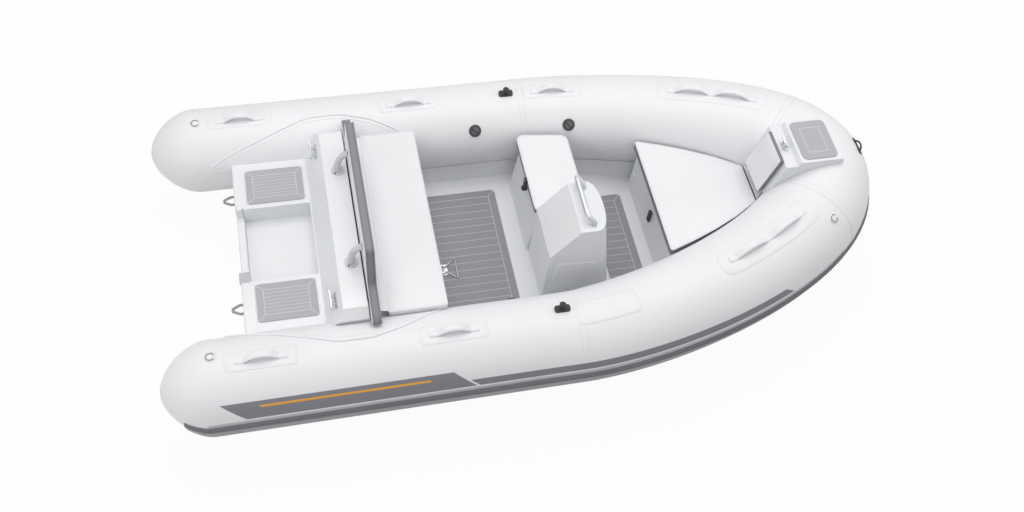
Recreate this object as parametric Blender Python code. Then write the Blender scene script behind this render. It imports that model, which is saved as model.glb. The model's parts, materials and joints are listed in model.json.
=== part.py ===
"""A rigid-hull inflatable tender with a console, modelled in metres.

+X is the bow, +Y is port and +Z is up. The origin lies under the middle of the boat, at the keel's height.
"""

import math

import bmesh
import bpy
import numpy as np
from mathutils import Matrix, Vector

GAP = 0.0003
TUBE_GAP = 0.003
HINGE_GAP = 0.0005

# Air tubes: the port tube's centre line runs straight from the stern, then bends to the bow.
TUBE_R = 0.215
TUBE_WALL = 0.002
TUBE_HALF_SPREAD = 0.685
TUBE_Z = 0.42
TUBE_SIDES = 36
TUBE_INNER_SIDES = 18
STERN_TIP_X = -1.80
STERN_CONE = 0.22
STERN_BLUNT = 0.22
CONE_SHARES = (1.0, 0.97, 0.9, 0.75, 0.55, 0.3, 0.0)
CONE_FALL = 1.6
CONE_ROUND = 1.8
SEAM_X = 0.13
BEND_X = 0.106
BOW_AXIS_X = 1.607
BOW_RISE = 0.145
BOW_SWELL = 0.228
SWELL_POWER = 0.79
BEND_ALONG = 1.57
BEND_ACROSS = 2.037
BOW_STATIONS = 15

# Rub strake, as angles round the tube from its inboard side.
STRAKE_TOP = 175.0
STRAKE_LOW = 215.0
STRAKE_T = 0.013
STRAKE_VALLEY_T = 0.008
STRAKE_FIRST = 4

# Hull, liner and transom.
SKIN_T = 0.008
LINER_T = 0.006
TRANSOM_X = -1.40
TRANSOM_T = 0.038
KEEL_PAD = 0.09
STEM_HALF = 0.03
CHINE_DROP = 0.065
HULL_ANGLE = -65.0
LINER_ANGLE = -35.0
KEEL_RISE = 0.20
KEEL_RISE_X = 0.85
FLOOR_Z = 0.20
FLOOR_MARGIN = 0.03
LINER_BOW_X = 1.0

# Stern deck.
PLATFORM_Z = 0.514
RIM_Z = 0.445
WELL_FLOOR_Z = 0.406
WELL_HALF = 0.21
WELL_FWD_X = -1.035
BULKHEAD_X = -1.03
COAMING_AFT_X = -0.95
COAMING_FWD_X = -0.835
COAMING_Z = 0.67
COAMING_HALF = TUBE_HALF_SPREAD - 0.13
DECK_WALL = 0.008
DECK_FOOT_HALF = TUBE_HALF_SPREAD - TUBE_R - 0.05
DECK_FOOT_Z = 0.345
MAT_T = 0.005
PLATFORM_MAT_X = (-1.337, -1.055)
PLATFORM_MAT_Y = (WELL_HALF + 0.025, TUBE_HALF_SPREAD - 0.245)
CLAMP_PAD_Y = (-0.18, -0.115)
CLAMP_PAD_T = 0.004
TOW_EYE_Y = 0.318
TOW_EYE_Z = 0.449
CLEAT_Y = TUBE_HALF_SPREAD - 0.248
CLEAT_UP = 0.7

# Seats and lockers.
BOX_WALL = 0.006
LID_T = 0.012
CUSHION_T = 0.05
CROWN = 0.008
OVERHANG = 0.012
REAR_BOX_TOP = 0.555
REAR_AFT_X = -0.745
REAR_FWD_X = -0.463
REAR_CLEAR = 0.0017
REAR_BOX_HALF = TUBE_HALF_SPREAD - TUBE_R - 0.03
REAR_LID_MARGIN = 0.03
BACKREST_X = -0.80
BACKREST_T = 0.055
BACKREST_LOW = 0.625
BACKREST_WING_Z = 0.675
BACKREST_SHOULDER_Z = 0.70
BACKREST_TOP = 0.912
BACKREST_HALF = TUBE_HALF_SPREAD - 0.08
BACKREST_NECK = BACKREST_HALF - 0.18
BACKREST_CROWN_HALF = BACKREST_NECK - 0.05
BRACKET_X = -0.882
BRACKET_Y = 0.271
BRACKET_R = 0.016
BRACKET_RISE = 0.105
FLANGE_R = 0.032
FLANGE_T = 0.006

CONSOLE_AFT_X = 0.074
CONSOLE_FWD_X = 0.347
CONSOLE_CLEAR = 0.004
CONSOLE_STBD_Y = -0.030
CONSOLE_BOX_TOP = 0.493
CONSOLE_BOX_CLEAR = 0.02
CONSOLE_DRAFT = 0.028
POD_AFT_X = 0.072
POD_PORT_Y = -0.037
POD_STBD_Y = -0.335
POD_SHOULDER_X = 0.285
POD_NOSE_X = 0.350
POD_FLARE = 0.105
POD_TOP = 0.782
DASH_LOW_Z = 0.585
DASH_TOP_X = 0.205
POD_WALL = 0.006
RAIL_R = 0.0125
RAIL_UP = 0.055
RAIL_LEAN = 0.035
RAIL_FOOT_X = 0.276
RAIL_PORT_Y = -0.075
RAIL_STBD_Y = -0.297
RAIL_REACH = 0.045
CONSOLE_LATCH_Y = 0.18
LATCH_W = 0.026
LATCH_T = 0.013

BOW_AFT_X = 0.703
BOW_FWD_X = 1.24
BOW_CLEAR = 0.004
BOW_OUTLINE_STEPS = 5
BOW_BOX_TOP = 0.488
BOW_BOX_INSET = 0.02
BOW_LATCH_Y = -0.025
BOW_LATCH_Z = 0.337
BOW_LATCH_H = 0.08
BOLSTER_X = 1.222
BOLSTER_LOW = 0.605
BOLSTER_TILT = 11.0
BOLSTER_H = 0.25
BOLSTER_HALF = 0.10
BOLSTER_T = 0.042
STEP_AFT_X = 1.385
STEP_FWD_X = 1.605
STEP_HALF = 0.135
STEP_Z = 0.862
STEP_DECK_Z = 0.835
STEP_LOW_Z = 0.60
STEP_PAD_MARGIN = 0.016
BOW_EYE_ANGLE = 130.0
BOW_EYE_L = 0.10
BOW_EYE_H = 0.018

AFT_MAT_FWD_X = -0.035
AFT_MAT_HALF = TUBE_HALF_SPREAD - TUBE_R - 0.09
FWD_MAT_X = (0.385, 0.655)
FWD_MAT_Y = (-0.35, 0.255)
MAT_POD_GAP = 0.012
RING_X = -0.399
RING_Y = -0.096

# Fittings on the tubes.
VALVE_X = (-0.136, 0.396)
VALVE_ANGLES = {"port": 40.0, "starboard": 10.0, "bow": 40.0}
VALVE_R = 0.033
VALVE_T = 0.004
BEND_LIFT = 0.0018
RELIEF_LIFT = 0.0006
BARREL_R = 0.021
BARREL_L = 0.03
CAP_R = 0.026
CAP_T = 0.009
RELIEF_X = -1.55
RELIEF_R = 0.026
RELIEF_BOW_S = 1.407
RELIEF_ANGLES = {"port": 90.0, "starboard": 80.0, "bow": 120.0}
HANDLE_X = (-1.333, -0.466, 0.309)
HANDLE_L = 0.23
HANDLE_FOOT = 0.045
HANDLE_H = 0.036
HANDLE_W = 0.034
HANDLE_T = 0.009
TWIN_X = (0.93, 1.365)
OARLOCK_X = 0.055
OARLOCK_ANGLES = {"port": 90.0, "starboard": 80.0}
OAR_BASE = (0.075, 0.036, 0.014)
OAR_POST_R = 0.007
OAR_POST_H = 0.018
OAR_KNOB_R = 0.016

WHITE_FABRIC = ((0.87, 0.87, 0.88), 0.55, 0.0)
GELCOAT = ((0.88, 0.89, 0.90), 0.30, 0.0)
VINYL = ((0.90, 0.90, 0.91), 0.50, 0.0)
GREY_RUBBER = ((0.17, 0.17, 0.18), 0.65, 0.0)
GREY_MAT = ((0.32, 0.32, 0.34), 0.80, 0.0)
BLACK_PLASTIC = ((0.03, 0.03, 0.035), 0.45, 0.0)
GREY_PLASTIC = ((0.10, 0.10, 0.11), 0.50, 0.0)
STEEL = ((0.62, 0.63, 0.65), 0.22, 1.0)


def clear_scene():
    for obj in list(bpy.data.objects):
        bpy.data.objects.remove(obj, do_unlink=True)


def finish(obj, look):
    colour, rough, metal = look
    made = bpy.data.materials.new(obj.name + "_finish")
    made.use_nodes = True
    shader = made.node_tree.nodes["Principled BSDF"]
    shader.inputs["Base Color"].default_value = (*colour, 1.0)
    shader.inputs["Roughness"].default_value = rough
    shader.inputs["Metallic"].default_value = metal
    obj.data.materials.append(made)


def add(name, bm, look, parent, smooth=30.0):
    """One named object from a bmesh, its faces turned outwards."""
    bmesh.ops.recalc_face_normals(bm, faces=bm.faces)
    mesh = bpy.data.meshes.new(name)
    bm.to_mesh(mesh)
    bm.free()
    obj = bpy.data.objects.new(name, mesh)
    bpy.context.scene.collection.objects.link(obj)
    if look is None:
        obj.hide_render = True
        obj.display_type = "WIRE"
    else:
        finish(obj, look)
        mesh.shade_smooth()
        mesh.set_sharp_from_angle(angle=math.radians(smooth))
    obj.parent = parent
    return obj


def cut(obj, cutter, operation="DIFFERENCE"):
    boolean = obj.modifiers.new(cutter.name, "BOOLEAN")
    boolean.operation = operation
    boolean.object = cutter
    boolean.solver = "EXACT"


def at(obj, matrix):
    obj.matrix_local = matrix
    return obj


def skin(rings, closed=True):
    """A skin through rings of equal count, with a flat face over the first and the last."""
    bm = bmesh.new()
    rows = [[bm.verts.new(p) for p in ring] for ring in rings]
    count = len(rows[0])
    for low, high in zip(rows, rows[1:]):
        for i in range(count):
            j = (i + 1) % count
            bm.faces.new((low[i], low[j], high[j], high[i]))
    if closed:
        bm.faces.new(rows[0][::-1])
        bm.faces.new(rows[-1])
    return bm


def flat_ring(outline, z):
    return [Vector((p[0], p[1], z)) for p in outline]


def rounded(points, radius, steps=4):
    """A polygon with each corner turned into an arc."""
    made = []
    count = len(points)
    for i in range(count):
        before, corner, after = (Vector(points[(i + k) % count]).to_2d() for k in (-1, 0, 1))
        one = (before - corner).normalized()
        two = (after - corner).normalized()
        half = one.angle(two) / 2
        reach = min(radius / math.tan(half), 0.49 * (before - corner).length, 0.49 * (after - corner).length)
        start = corner + one * reach
        end = corner + two * reach
        for k in range(steps + 1):
            t = k / steps
            made.append(start.lerp(corner, t).lerp(corner.lerp(end, t), t))
    return made


def inset(outline, width):
    """The outline moved inwards, for an anticlockwise polygon."""
    made = []
    count = len(outline)
    for i in range(count):
        a, b, c = (Vector(outline[(i + k) % count]).to_2d() for k in (-1, 0, 1))
        one = (b - a).normalized()
        two = (c - b).normalized()
        side = Vector((-one.y - two.y, one.x + two.x)).normalized()
        made.append(b + side * width / max(0.4, side.dot(Vector((-one.y, one.x)))))
    return made


def rectangle(x0, x1, y0, y1):
    return [(x0, y0), (x1, y0), (x1, y1), (x0, y1)]


def slab(outline, z0, z1):
    return skin([flat_ring(outline, z0), flat_ring(outline, z1)])


def tray(foot, rim, z0, z1, wall):
    """An open box whose foot and rim outlines may differ."""
    inner_rim = inset(rim, wall)
    inner_foot = inset(foot, wall)
    return skin([flat_ring(foot, z0), flat_ring(rim, z1), flat_ring(inner_rim, z1), flat_ring(inner_foot, z0 + wall)])


def cushion(outline, z0, height, crown, pull=0.004, seam=0.006):
    """A pad with seams at top and bottom, sides drawn in between them, and a crowned face."""
    top = z0 + height
    low_seam = z0 + seam
    high_seam = top - crown - seam
    rings = [flat_ring(inset(outline, seam), z0), flat_ring(outline, low_seam)]
    rings.append(flat_ring(inset(outline, pull), (low_seam + high_seam) / 2))
    rings.append(flat_ring(outline, high_seam))
    centre = sum((Vector(p).to_2d() for p in outline), Vector((0, 0))) / len(outline)
    lip = inset(outline, seam)
    for share, rise in ((1.0, 0.0), (0.86, 0.52), (0.6, 0.86), (0.25, 1.0)):
        z = top - crown + crown * rise
        rings.append([Vector((*(centre + (p - centre) * share), z)) for p in lip])
    return skin(rings)


def lathe(profile, sides=20):
    """A turned solid: (radius, height) pairs from the bottom to the top."""
    rings = []
    for radius, z in profile:
        turn = [2 * math.pi * k / sides for k in range(sides)]
        rings.append([Vector((radius * math.cos(a), radius * math.sin(a), z)) for a in turn])
    return skin(rings)


def prism_y(profile, half):
    """An outline in x and z, drawn out to both sides."""
    return skin([[Vector((x, y, z)) for x, z in profile] for y in (-half, half)])


def prism_x(section, x0, x1):
    """An outline in y and z, drawn out along the boat."""
    return skin([[Vector((x, y, z)) for y, z in section] for x in (x0, x1)])


def sweep(points, radius, sides=10):
    """A round bar along points."""
    rings = []
    count = len(points)
    last = None
    for i, p in enumerate(points):
        along = (points[min(i + 1, count - 1)] - points[max(i - 1, 0)]).normalized()
        if last is None:
            last = along.orthogonal().normalized()
        last = (last - along * last.dot(along)).normalized()
        other = along.cross(last)
        turn = [2 * math.pi * k / sides for k in range(sides)]
        rings.append([p + radius * (math.cos(a) * last + math.sin(a) * other) for a in turn])
    return skin(rings)


# The tube's centre line, by length: zero where the bend starts, negative along the straight, port side.
BEND_L = BOW_AXIS_X - BEND_X


def bend_point(t):
    u = math.sin(t) ** (2 / BEND_ALONG)
    y = TUBE_HALF_SPREAD * max(math.cos(t), 0.0) ** (2 / BEND_ACROSS)
    return np.array((BEND_X + BEND_L * u, y, TUBE_Z + BOW_RISE * u * u))


TABLE_T = np.linspace(0.0, math.pi / 2, 1201)
TABLE_P = np.array([bend_point(t) for t in TABLE_T])
TABLE_S = np.concatenate([[0.0], np.cumsum(np.linalg.norm(np.diff(TABLE_P, axis=0), axis=1))])
BOW_S = float(TABLE_S[-1])


def centre(s):
    if s <= 0:
        return Vector((BEND_X + s, TUBE_HALF_SPREAD, TUBE_Z))
    return Vector([float(np.interp(s, TABLE_S, TABLE_P[:, k])) for k in range(3)])


def along_x(x):
    """The length at which the centre line passes this x."""
    if x <= BEND_X:
        return x - BEND_X
    return float(np.interp(x, TABLE_P[:, 0], TABLE_S))


def tube_radius(s):
    s = float(s)
    swell = 1 + BOW_SWELL * max(s / BOW_S, 0.0) ** SWELL_POWER
    cone_x = STERN_TIP_X + STERN_CONE
    x = BEND_X + s
    if x >= cone_x:
        return TUBE_R * swell
    q = (cone_x - x) / STERN_CONE
    return TUBE_R * max(1 - q ** CONE_FALL, STERN_BLUNT ** CONE_ROUND) ** (1 / CONE_ROUND)


def frame(s):
    """Centre, direction, inboard and upward, on the port side."""
    s = float(s)
    step = 0.004
    p = centre(s)
    if s >= BOW_S - step:
        along = Vector((0.0, -1.0, 0.0))
    else:
        along = (centre(s + step) - centre(s - step)).normalized()
    up = Vector((0, 0, 1))
    up = (up - along * up.dot(along)).normalized()
    return p, along, along.cross(up), up


def mirror(p, side):
    return Vector((p.x, p.y * side, p.z))


def on_tube(s, angle, off=0.0, side=1):
    """A point on the tube's skin: the angle runs from the inboard side over the top."""
    p, _, inboard, up = frame(s)
    a = math.radians(angle)
    r = tube_radius(s) + off
    return mirror(p + r * (math.cos(a) * inboard + math.sin(a) * up), side)


FACE = math.cos(math.pi / TUBE_SIDES)


def seat_on_tube(s, angle, side=1):
    """A placement on the tube's face: Z points out of the tube and X along it."""
    p, along, inboard, up = frame(s)
    a = math.radians(angle)
    out = math.cos(a) * inboard + math.sin(a) * up
    spot = mirror(p + (tube_radius(s) * FACE + GAP) * out, side)
    z = mirror(out, side).normalized()
    x = mirror(along, side).normalized()
    y = z.cross(x)
    return Matrix((x, y, z)).transposed().to_4x4(), spot


def seat(s, angle, side=1, lift=0.0):
    turn, spot = seat_on_tube(s, angle, side)
    return Matrix.Translation(spot) @ turn @ Matrix.Translation((0, 0, lift))


def berth(x, z):
    """Half the clear width between the tubes at this place."""
    line = []
    for s in [along_x(x) - 0.3] + [max(along_x(x), 0.0) + BOW_S * k / 60 for k in range(40)]:
        p, _, inboard, _ = frame(min(s, BOW_S))
        rise = z - p.z
        reach = math.sqrt(max(tube_radius(min(s, BOW_S)) ** 2 - rise * rise, 0.0))
        flat = inboard.xy.normalized() * reach
        line.append((p.x + flat.x, p.y + flat.y))
    line.sort()
    return float(np.interp(x, [q[0] for q in line], [q[1] for q in line]))


def tube_ring(s, side, off=0.0, sides=TUBE_SIDES):
    return [on_tube(s, 360.0 * (k + 0.5) / sides, off, side) for k in range(sides)]


def bow_stations():
    """Lengths from one seam round the bow: signed by side, so that they run from port to starboard."""
    seam = along_x(SEAM_X) + GAP / 2
    one = [seam] + [seam + (BOW_S - seam) * k / BOW_STATIONS for k in range(1, BOW_STATIONS + 1)]
    return [(s, 1) for s in one] + [(s, -1) for s in one[-2::-1]]


def stern_stations():
    cone_x = STERN_TIP_X + STERN_CONE
    xs = [cone_x - STERN_CONE * q for q in CONE_SHARES]
    return [along_x(x) for x in xs] + [along_x(BEND_X), along_x(SEAM_X) - GAP / 2]


def build_tubes(root):
    for name, side in (("port_tube", 1), ("starboard_tube", -1)):
        stations = stern_stations()
        tube = add(name, skin([tube_ring(s, side) for s in stations]), WHITE_FABRIC, root)
        inner = [stations[0] + TUBE_WALL] + stations[1:-1] + [stations[-1] - TUBE_WALL]
        rings = [tube_ring(s, side, -TUBE_WALL / FACE ** 4, TUBE_INNER_SIDES) for s in inner]
        cut(tube, add(name + "_air", skin(rings), None, root))
        valve_hole(tube, along_x(VALVE_X[0]), side, VALVE_ANGLES[name.split("_")[0]], root)
    stations = bow_stations()
    tube = add("bow_tube", skin([tube_ring(s, side) for s, side in stations]), WHITE_FABRIC, root)
    inner = [(stations[0][0] + TUBE_WALL, 1)] + stations[1:-1] + [(stations[-1][0] + TUBE_WALL, -1)]
    rings = [tube_ring(s, side, -TUBE_WALL / FACE ** 4, TUBE_INNER_SIDES) for s, side in inner]
    cut(tube, add("bow_tube_air", skin(rings), None, root))
    valve_hole(tube, along_x(VALVE_X[1]), 1, VALVE_ANGLES["bow"], root)


def valve_hole(tube, s, side, angle, root):
    hole = lathe([(BARREL_R + GAP, -BARREL_L - 0.02), (BARREL_R + GAP, 0.02)])
    cut(tube, at(add(tube.name + "_hole", hole, None, root), seat(s, angle, side)))


def build_strake(root):
    aft = stern_stations()[STRAKE_FIRST:-1]
    stations = [(s, 1) for s in aft] + bow_stations() + [(s, -1) for s in aft[::-1]]
    angles = np.linspace(STRAKE_TOP, STRAKE_LOW, 5)
    third = (STRAKE_LOW - STRAKE_TOP) / 3
    outer = []
    for start, t in ((0.0, STRAKE_T), (1.0, STRAKE_VALLEY_T), (2.0, STRAKE_T)):
        for share in (0.08, 0.92):
            outer.append((STRAKE_TOP + third * (start + share), t))
    rings = []
    for s, side in stations:
        ring = [on_tube(s, a, GAP, side) for a in angles]
        ring += [on_tube(s, a, t, side) for a, t in outer[::-1]]
        rings.append(ring)
    add("rub_strake", skin(rings), GREY_RUBBER, root)


def keel_z(x):
    q = max(x - KEEL_RISE_X, 0.0) / (BOW_AXIS_X - KEEL_RISE_X)
    return KEEL_RISE * 2.2 * q ** 2.2


def hull_half(s, off=GAP):
    """Keel, pad edge, chine and top edge of the hull's outside, port half, at this length."""
    top = on_tube(s, HULL_ANGLE, off)
    keel = min(keel_z(top.x), top.z - CHINE_DROP - 0.02)
    pad = min(KEEL_PAD, 0.3 * top.y)
    return top, (top.x, pad, keel), (top.x, top.y - 0.02, top.z - CHINE_DROP)


def hull_ring(s, thick, off=GAP):
    top, pad, chine = hull_half(s, off)
    outer = [top, Vector(chine), Vector(pad)]
    inner = [
        Vector((top.x, top.y - thick, top.z)),
        Vector((top.x, chine[1] - thick, chine[2] + thick * 0.7)),
        Vector((top.x, pad[1], pad[2] + thick)),
    ]
    ring = outer + [mirror(p, -1) for p in outer[::-1]]
    return ring + [mirror(p, -1) for p in inner] + inner[::-1]


def build_hull(root):
    stations = [s for s, side in bow_stations() if side > 0][1:-1]
    ends = np.linspace(stations[-1], BOW_S, 40)
    stem = max(s for s in ends if on_tube(s, HULL_ANGLE).y > STEM_HALF)
    start = along_x(TRANSOM_X + TRANSOM_T + GAP)
    rings = [hull_ring(s, SKIN_T) for s in [start] + stations] + [hull_ring(stem, SKIN_T, TUBE_GAP)]
    add("hull_shell", skin(rings), GELCOAT, root)
    top, pad, chine = hull_half(start)
    arc = [on_tube(start, a, GAP) for a in np.arange(HULL_ANGLE, 26.0, 10.0)]
    level = PLATFORM_Z - TUBE_Z
    side_y = TUBE_HALF_SPREAD - math.sqrt((TUBE_R + GAP) ** 2 - level ** 2)
    half = [(pad[1], pad[2]), (chine[1], chine[2])] + [(p.y, p.z) for p in arc]
    half += [(side_y - GAP, PLATFORM_Z), (WELL_HALF, PLATFORM_Z), (WELL_HALF, RIM_Z)]
    section = half + [(-y, z) for y, z in half[::-1]]
    board = prism_x(section, TRANSOM_X, TRANSOM_X + TRANSOM_T)
    add("transom", board, GELCOAT, root)
    rings = []
    bow = along_x(LINER_BOW_X)
    for s in [along_x(TRANSOM_X + TRANSOM_T + GAP)] + list(np.linspace(0.0, bow, 7)):
        top = on_tube(s, LINER_ANGLE, GAP)
        foot = top.y - FLOOR_MARGIN
        port = [Vector((top.x, top.y, top.z)), Vector((top.x, foot + LINER_T, FLOOR_Z - LINER_T))]
        inner = [Vector((top.x, top.y - LINER_T, top.z)), Vector((top.x, foot, FLOOR_Z))]
        ring = port + [mirror(p, -1) for p in port[::-1]] + [mirror(p, -1) for p in inner] + inner[::-1]
        rings.append(ring)
    add("deck_liner", skin(rings), GELCOAT, root)


def build_stern(root):
    x0 = TRANSOM_X + TRANSOM_T + GAP
    foot = FLOOR_Z + GAP
    profile = [
        (x0, foot),
        (x0, PLATFORM_Z),
        (BULKHEAD_X, PLATFORM_Z),
        (COAMING_AFT_X, COAMING_Z),
        (COAMING_FWD_X, COAMING_Z),
        (COAMING_FWD_X, foot),
    ]
    w = DECK_WALL
    hollow = [
        (x0 + w, foot - 0.05),
        (x0 + w, PLATFORM_Z - w),
        (BULKHEAD_X + 0.6 * w, PLATFORM_Z - w),
        (COAMING_AFT_X + 0.6 * w, COAMING_Z - w),
        (COAMING_FWD_X - w, COAMING_Z - w),
        (COAMING_FWD_X - w, foot - 0.05),
    ]
    reach = TUBE_R + TUBE_GAP
    side = []
    for a in np.radians(np.arange(-20.0, 60.0, 10.0)):
        side.append((TUBE_HALF_SPREAD - reach * math.cos(a), TUBE_Z + reach * math.sin(a)))
    half = [(DECK_FOOT_HALF, foot - 0.02), (DECK_FOOT_HALF, DECK_FOOT_Z)] + side
    half += [(COAMING_HALF, COAMING_Z - 0.045), (COAMING_HALF - 0.06, COAMING_Z + 0.02)]
    section = half + [(-y, z) for y, z in half[::-1]]
    deck = add("stern_deck", prism_y(profile, COAMING_HALF + 0.05), GELCOAT, root)
    cut(deck, add("stern_section", prism_x(section, x0 - 0.02, COAMING_FWD_X + 0.02), None, root), "INTERSECT")
    inside = add("stern_hollow", prism_y(hollow, DECK_FOOT_HALF - w), None, root)
    well = rectangle(x0 - 0.02, WELL_FWD_X, -WELL_HALF, WELL_HALF)
    around = rectangle(x0 - 0.03, WELL_FWD_X + w, -WELL_HALF - w, WELL_HALF + w)
    top = PLATFORM_Z + 0.05
    cut(inside, add("well_walls", slab(around, WELL_FLOOR_Z - w, top), None, root))
    cut(deck, inside)
    cut(deck, add("well_space", slab(well, WELL_FLOOR_Z, top), None, root))
    for name, sign in (("port", 1), ("starboard", -1)):
        ys = sorted(sign * y for y in PLATFORM_MAT_Y)
        outline = rounded(rectangle(*PLATFORM_MAT_X, *ys), 0.015, 3)
        z = PLATFORM_Z + GAP
        add("platform_mat_" + name, slab(outline, z, z + MAT_T), GREY_MAT, root)
        eye = tow_eye()
        place = Matrix.Translation((TRANSOM_X - GAP, sign * TOW_EYE_Y, TOW_EYE_Z))
        at(add("tow_eye_" + name, eye, STEEL, root), place)
        low = Vector((BULKHEAD_X, 0, PLATFORM_Z))
        high = Vector((COAMING_AFT_X, 0, COAMING_Z))
        rise = (high - low).normalized()
        out = Vector((-rise.z, 0, rise.x))
        spot = low.lerp(high, CLEAT_UP) + out * GAP + Vector((0, sign * CLEAT_Y, 0))
        turn = Matrix((rise, out.cross(rise), out)).transposed().to_4x4()
        at(add("stern_cleat_" + name, cleat(0.10), STEEL, root), Matrix.Translation(spot) @ turn)
    pad = slab(rectangle(TRANSOM_X - 0.012, TRANSOM_X + TRANSOM_T, *CLAMP_PAD_Y), 0, CLAMP_PAD_T)
    at(add("clamp_pad", pad, GREY_RUBBER, root), Matrix.Translation((0, 0, RIM_Z + GAP)))


def tow_eye():
    """A plate on the transom with a triangular loop of bar standing aft from it."""
    half, reach, r = 0.024, 0.05, 0.0065
    loop = [(0.0, half), (-0.35 * reach, half), (-reach, 0.3 * half), (-reach, -0.3 * half)]
    loop += [(-0.35 * reach, -half), (0.0, -half)]
    path = []
    for a, b in zip(loop, loop[1:]):
        for k in range(3):
            path.append(Vector(a).lerp(Vector(b), k / 3))
    path.append(Vector(loop[-1]))
    bm = sweep([Vector((p.x - 0.002, p.y, 0)) for p in path], r, 8)
    return joined(bm, box(-0.003, 0.0, -half - 0.012, half + 0.012, -0.012, 0.012))


def box(x0, x1, y0, y1, z0, z1):
    return slab(rectangle(x0, x1, y0, y1), z0, z1)


def across_y(radius, width, spot):
    """A short round bar across the boat, centred on a joint's axis."""
    half = Vector((0, width / 2, 0))
    return sweep([spot - half, spot + half], radius, 16)


def joined(*shapes):
    """One solid from shapes that overlap."""
    made = []
    for k, bm in enumerate(shapes):
        bmesh.ops.recalc_face_normals(bm, faces=bm.faces)
        mesh = bpy.data.meshes.new("shape")
        bm.to_mesh(mesh)
        bm.free()
        obj = bpy.data.objects.new("shape", mesh)
        bpy.context.scene.collection.objects.link(obj)
        made.append(obj)
    for other in made[1:]:
        cut(made[0], other, "UNION")
    graph = bpy.context.evaluated_depsgraph_get()
    result = bmesh.new()
    result.from_mesh(bpy.data.meshes.new_from_object(made[0].evaluated_get(graph)))
    for obj in made:
        bpy.data.objects.remove(obj, do_unlink=True)
    return result


def cleat(length):
    """A horn cleat on two posts, along Y."""
    base = box(-0.012, 0.012, -0.4 * length, 0.4 * length, 0, 0.004)
    posts = [lathe([(0.006, 0.002), (0.006, 0.026)], 8) for _ in range(2)]
    for bm, sign in zip(posts, (1, -1)):
        bmesh.ops.translate(bm, verts=bm.verts, vec=(0, sign * 0.2 * length, 0))
    ends = (-0.5, -0.3, 0.0, 0.3, 0.5)
    horn = sweep([Vector((0, f * length, 0.026 + 0.006 * (2 * abs(f)) ** 2)) for f in ends], 0.006, 8)
    return joined(base, *posts, horn)


def hinged(name, root, x, y, z):
    """An empty on a joint's axis, for the pieces that turn with it."""
    empty = bpy.data.objects.new(name, None)
    bpy.context.scene.collection.objects.link(empty)
    empty.parent = root
    empty.location = (x, y, z)
    bpy.context.view_layer.update()
    return empty


def add_on(name, bm, look, empty, root):
    """A piece drawn in the boat's frame that hangs on a joint's empty."""
    bmesh.ops.translate(bm, verts=bm.verts, vec=-empty.location)
    return add(name, bm, look, empty)


def build_rear_seat(root):
    top = REAR_BOX_TOP
    lid_z = top + GAP
    pad_z = lid_z + LID_T + GAP
    box_aft = COAMING_FWD_X + GAP
    box_fwd = REAR_FWD_X - OVERHANG
    rim = rounded(rectangle(box_aft, box_fwd, -REAR_BOX_HALF, REAR_BOX_HALF), 0.02, 2)
    add("rear_seat_box", tray(rim, rim, FLOOR_Z + GAP, top, BOX_WALL), GELCOAT, root)
    axis = hinged("rear_seat_hinge", root, REAR_AFT_X, 0.0, lid_z)
    seat_half = berth(REAR_FWD_X, pad_z) - REAR_CLEAR
    half = seat_half - REAR_LID_MARGIN
    outline = rounded(rectangle(REAR_AFT_X, REAR_FWD_X - OVERHANG, -half, half), 0.02, 2)
    add_on("rear_seat_lid", slab(outline, lid_z, lid_z + LID_T), GELCOAT, axis, root)
    outline = rounded(rectangle(REAR_AFT_X, REAR_FWD_X, -seat_half, seat_half), 0.03, 3)
    fine = split(outline, 0.09)
    add_on("rear_seat_cushion", cushion(fine, pad_z, CUSHION_T, CROWN), VINYL, axis, root)
    half = [
        (BACKREST_HALF - 0.01, BACKREST_LOW),
        (BACKREST_HALF, BACKREST_WING_Z - 0.02),
        (BACKREST_HALF - 0.03, BACKREST_WING_Z),
        (BACKREST_NECK, BACKREST_SHOULDER_Z),
        (BACKREST_CROWN_HALF, BACKREST_TOP),
    ]
    outline = rounded(half + [(-y, z) for y, z in half[::-1]], 0.015, 2)
    turn = Matrix(((0, 0, 1), (1, 0, 0), (0, 1, 0))).to_4x4()
    place = Matrix.Translation((BACKREST_X - BACKREST_T / 2, 0, 0)) @ turn
    pad = cushion(split(outline, 0.09), 0.0, BACKREST_T, CROWN)
    at(add("backrest_cushion", pad, VINYL, root), place)
    back_x = BACKREST_X - BACKREST_T / 2 - GAP
    for name, sign in (("port", 1), ("starboard", -1)):
        foot = COAMING_Z + GAP
        path = [Vector((BRACKET_X, sign * BRACKET_Y, foot + 0.001))]
        for a in np.linspace(0.0, math.pi / 2, 7):
            x = BRACKET_X + (back_x - BRACKET_X) * (1 - math.cos(a))
            path.append(Vector((x, sign * BRACKET_Y, foot + 0.02 + BRACKET_RISE * math.sin(a))))
        bar = sweep(path, BRACKET_R, 12)
        for v in bar.verts:
            v.co.x = min(v.co.x, back_x)
        flange = lathe([(FLANGE_R, 0.0), (FLANGE_R, FLANGE_T)], 20)
        bmesh.ops.translate(flange, verts=flange.verts, vec=(BRACKET_X, sign * BRACKET_Y, foot))
        add("backrest_bracket_" + name, joined(flange, bar), STEEL, root)


def split(outline, longest):
    """Points added along a polygon's long sides."""
    made = []
    for i, p in enumerate(outline):
        q = outline[(i + 1) % len(outline)]
        a, b = Vector(p).to_2d(), Vector(q).to_2d()
        parts = max(1, math.ceil((b - a).length / longest))
        for k in range(parts):
            made.append(a.lerp(b, k / parts))
    return made


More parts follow.
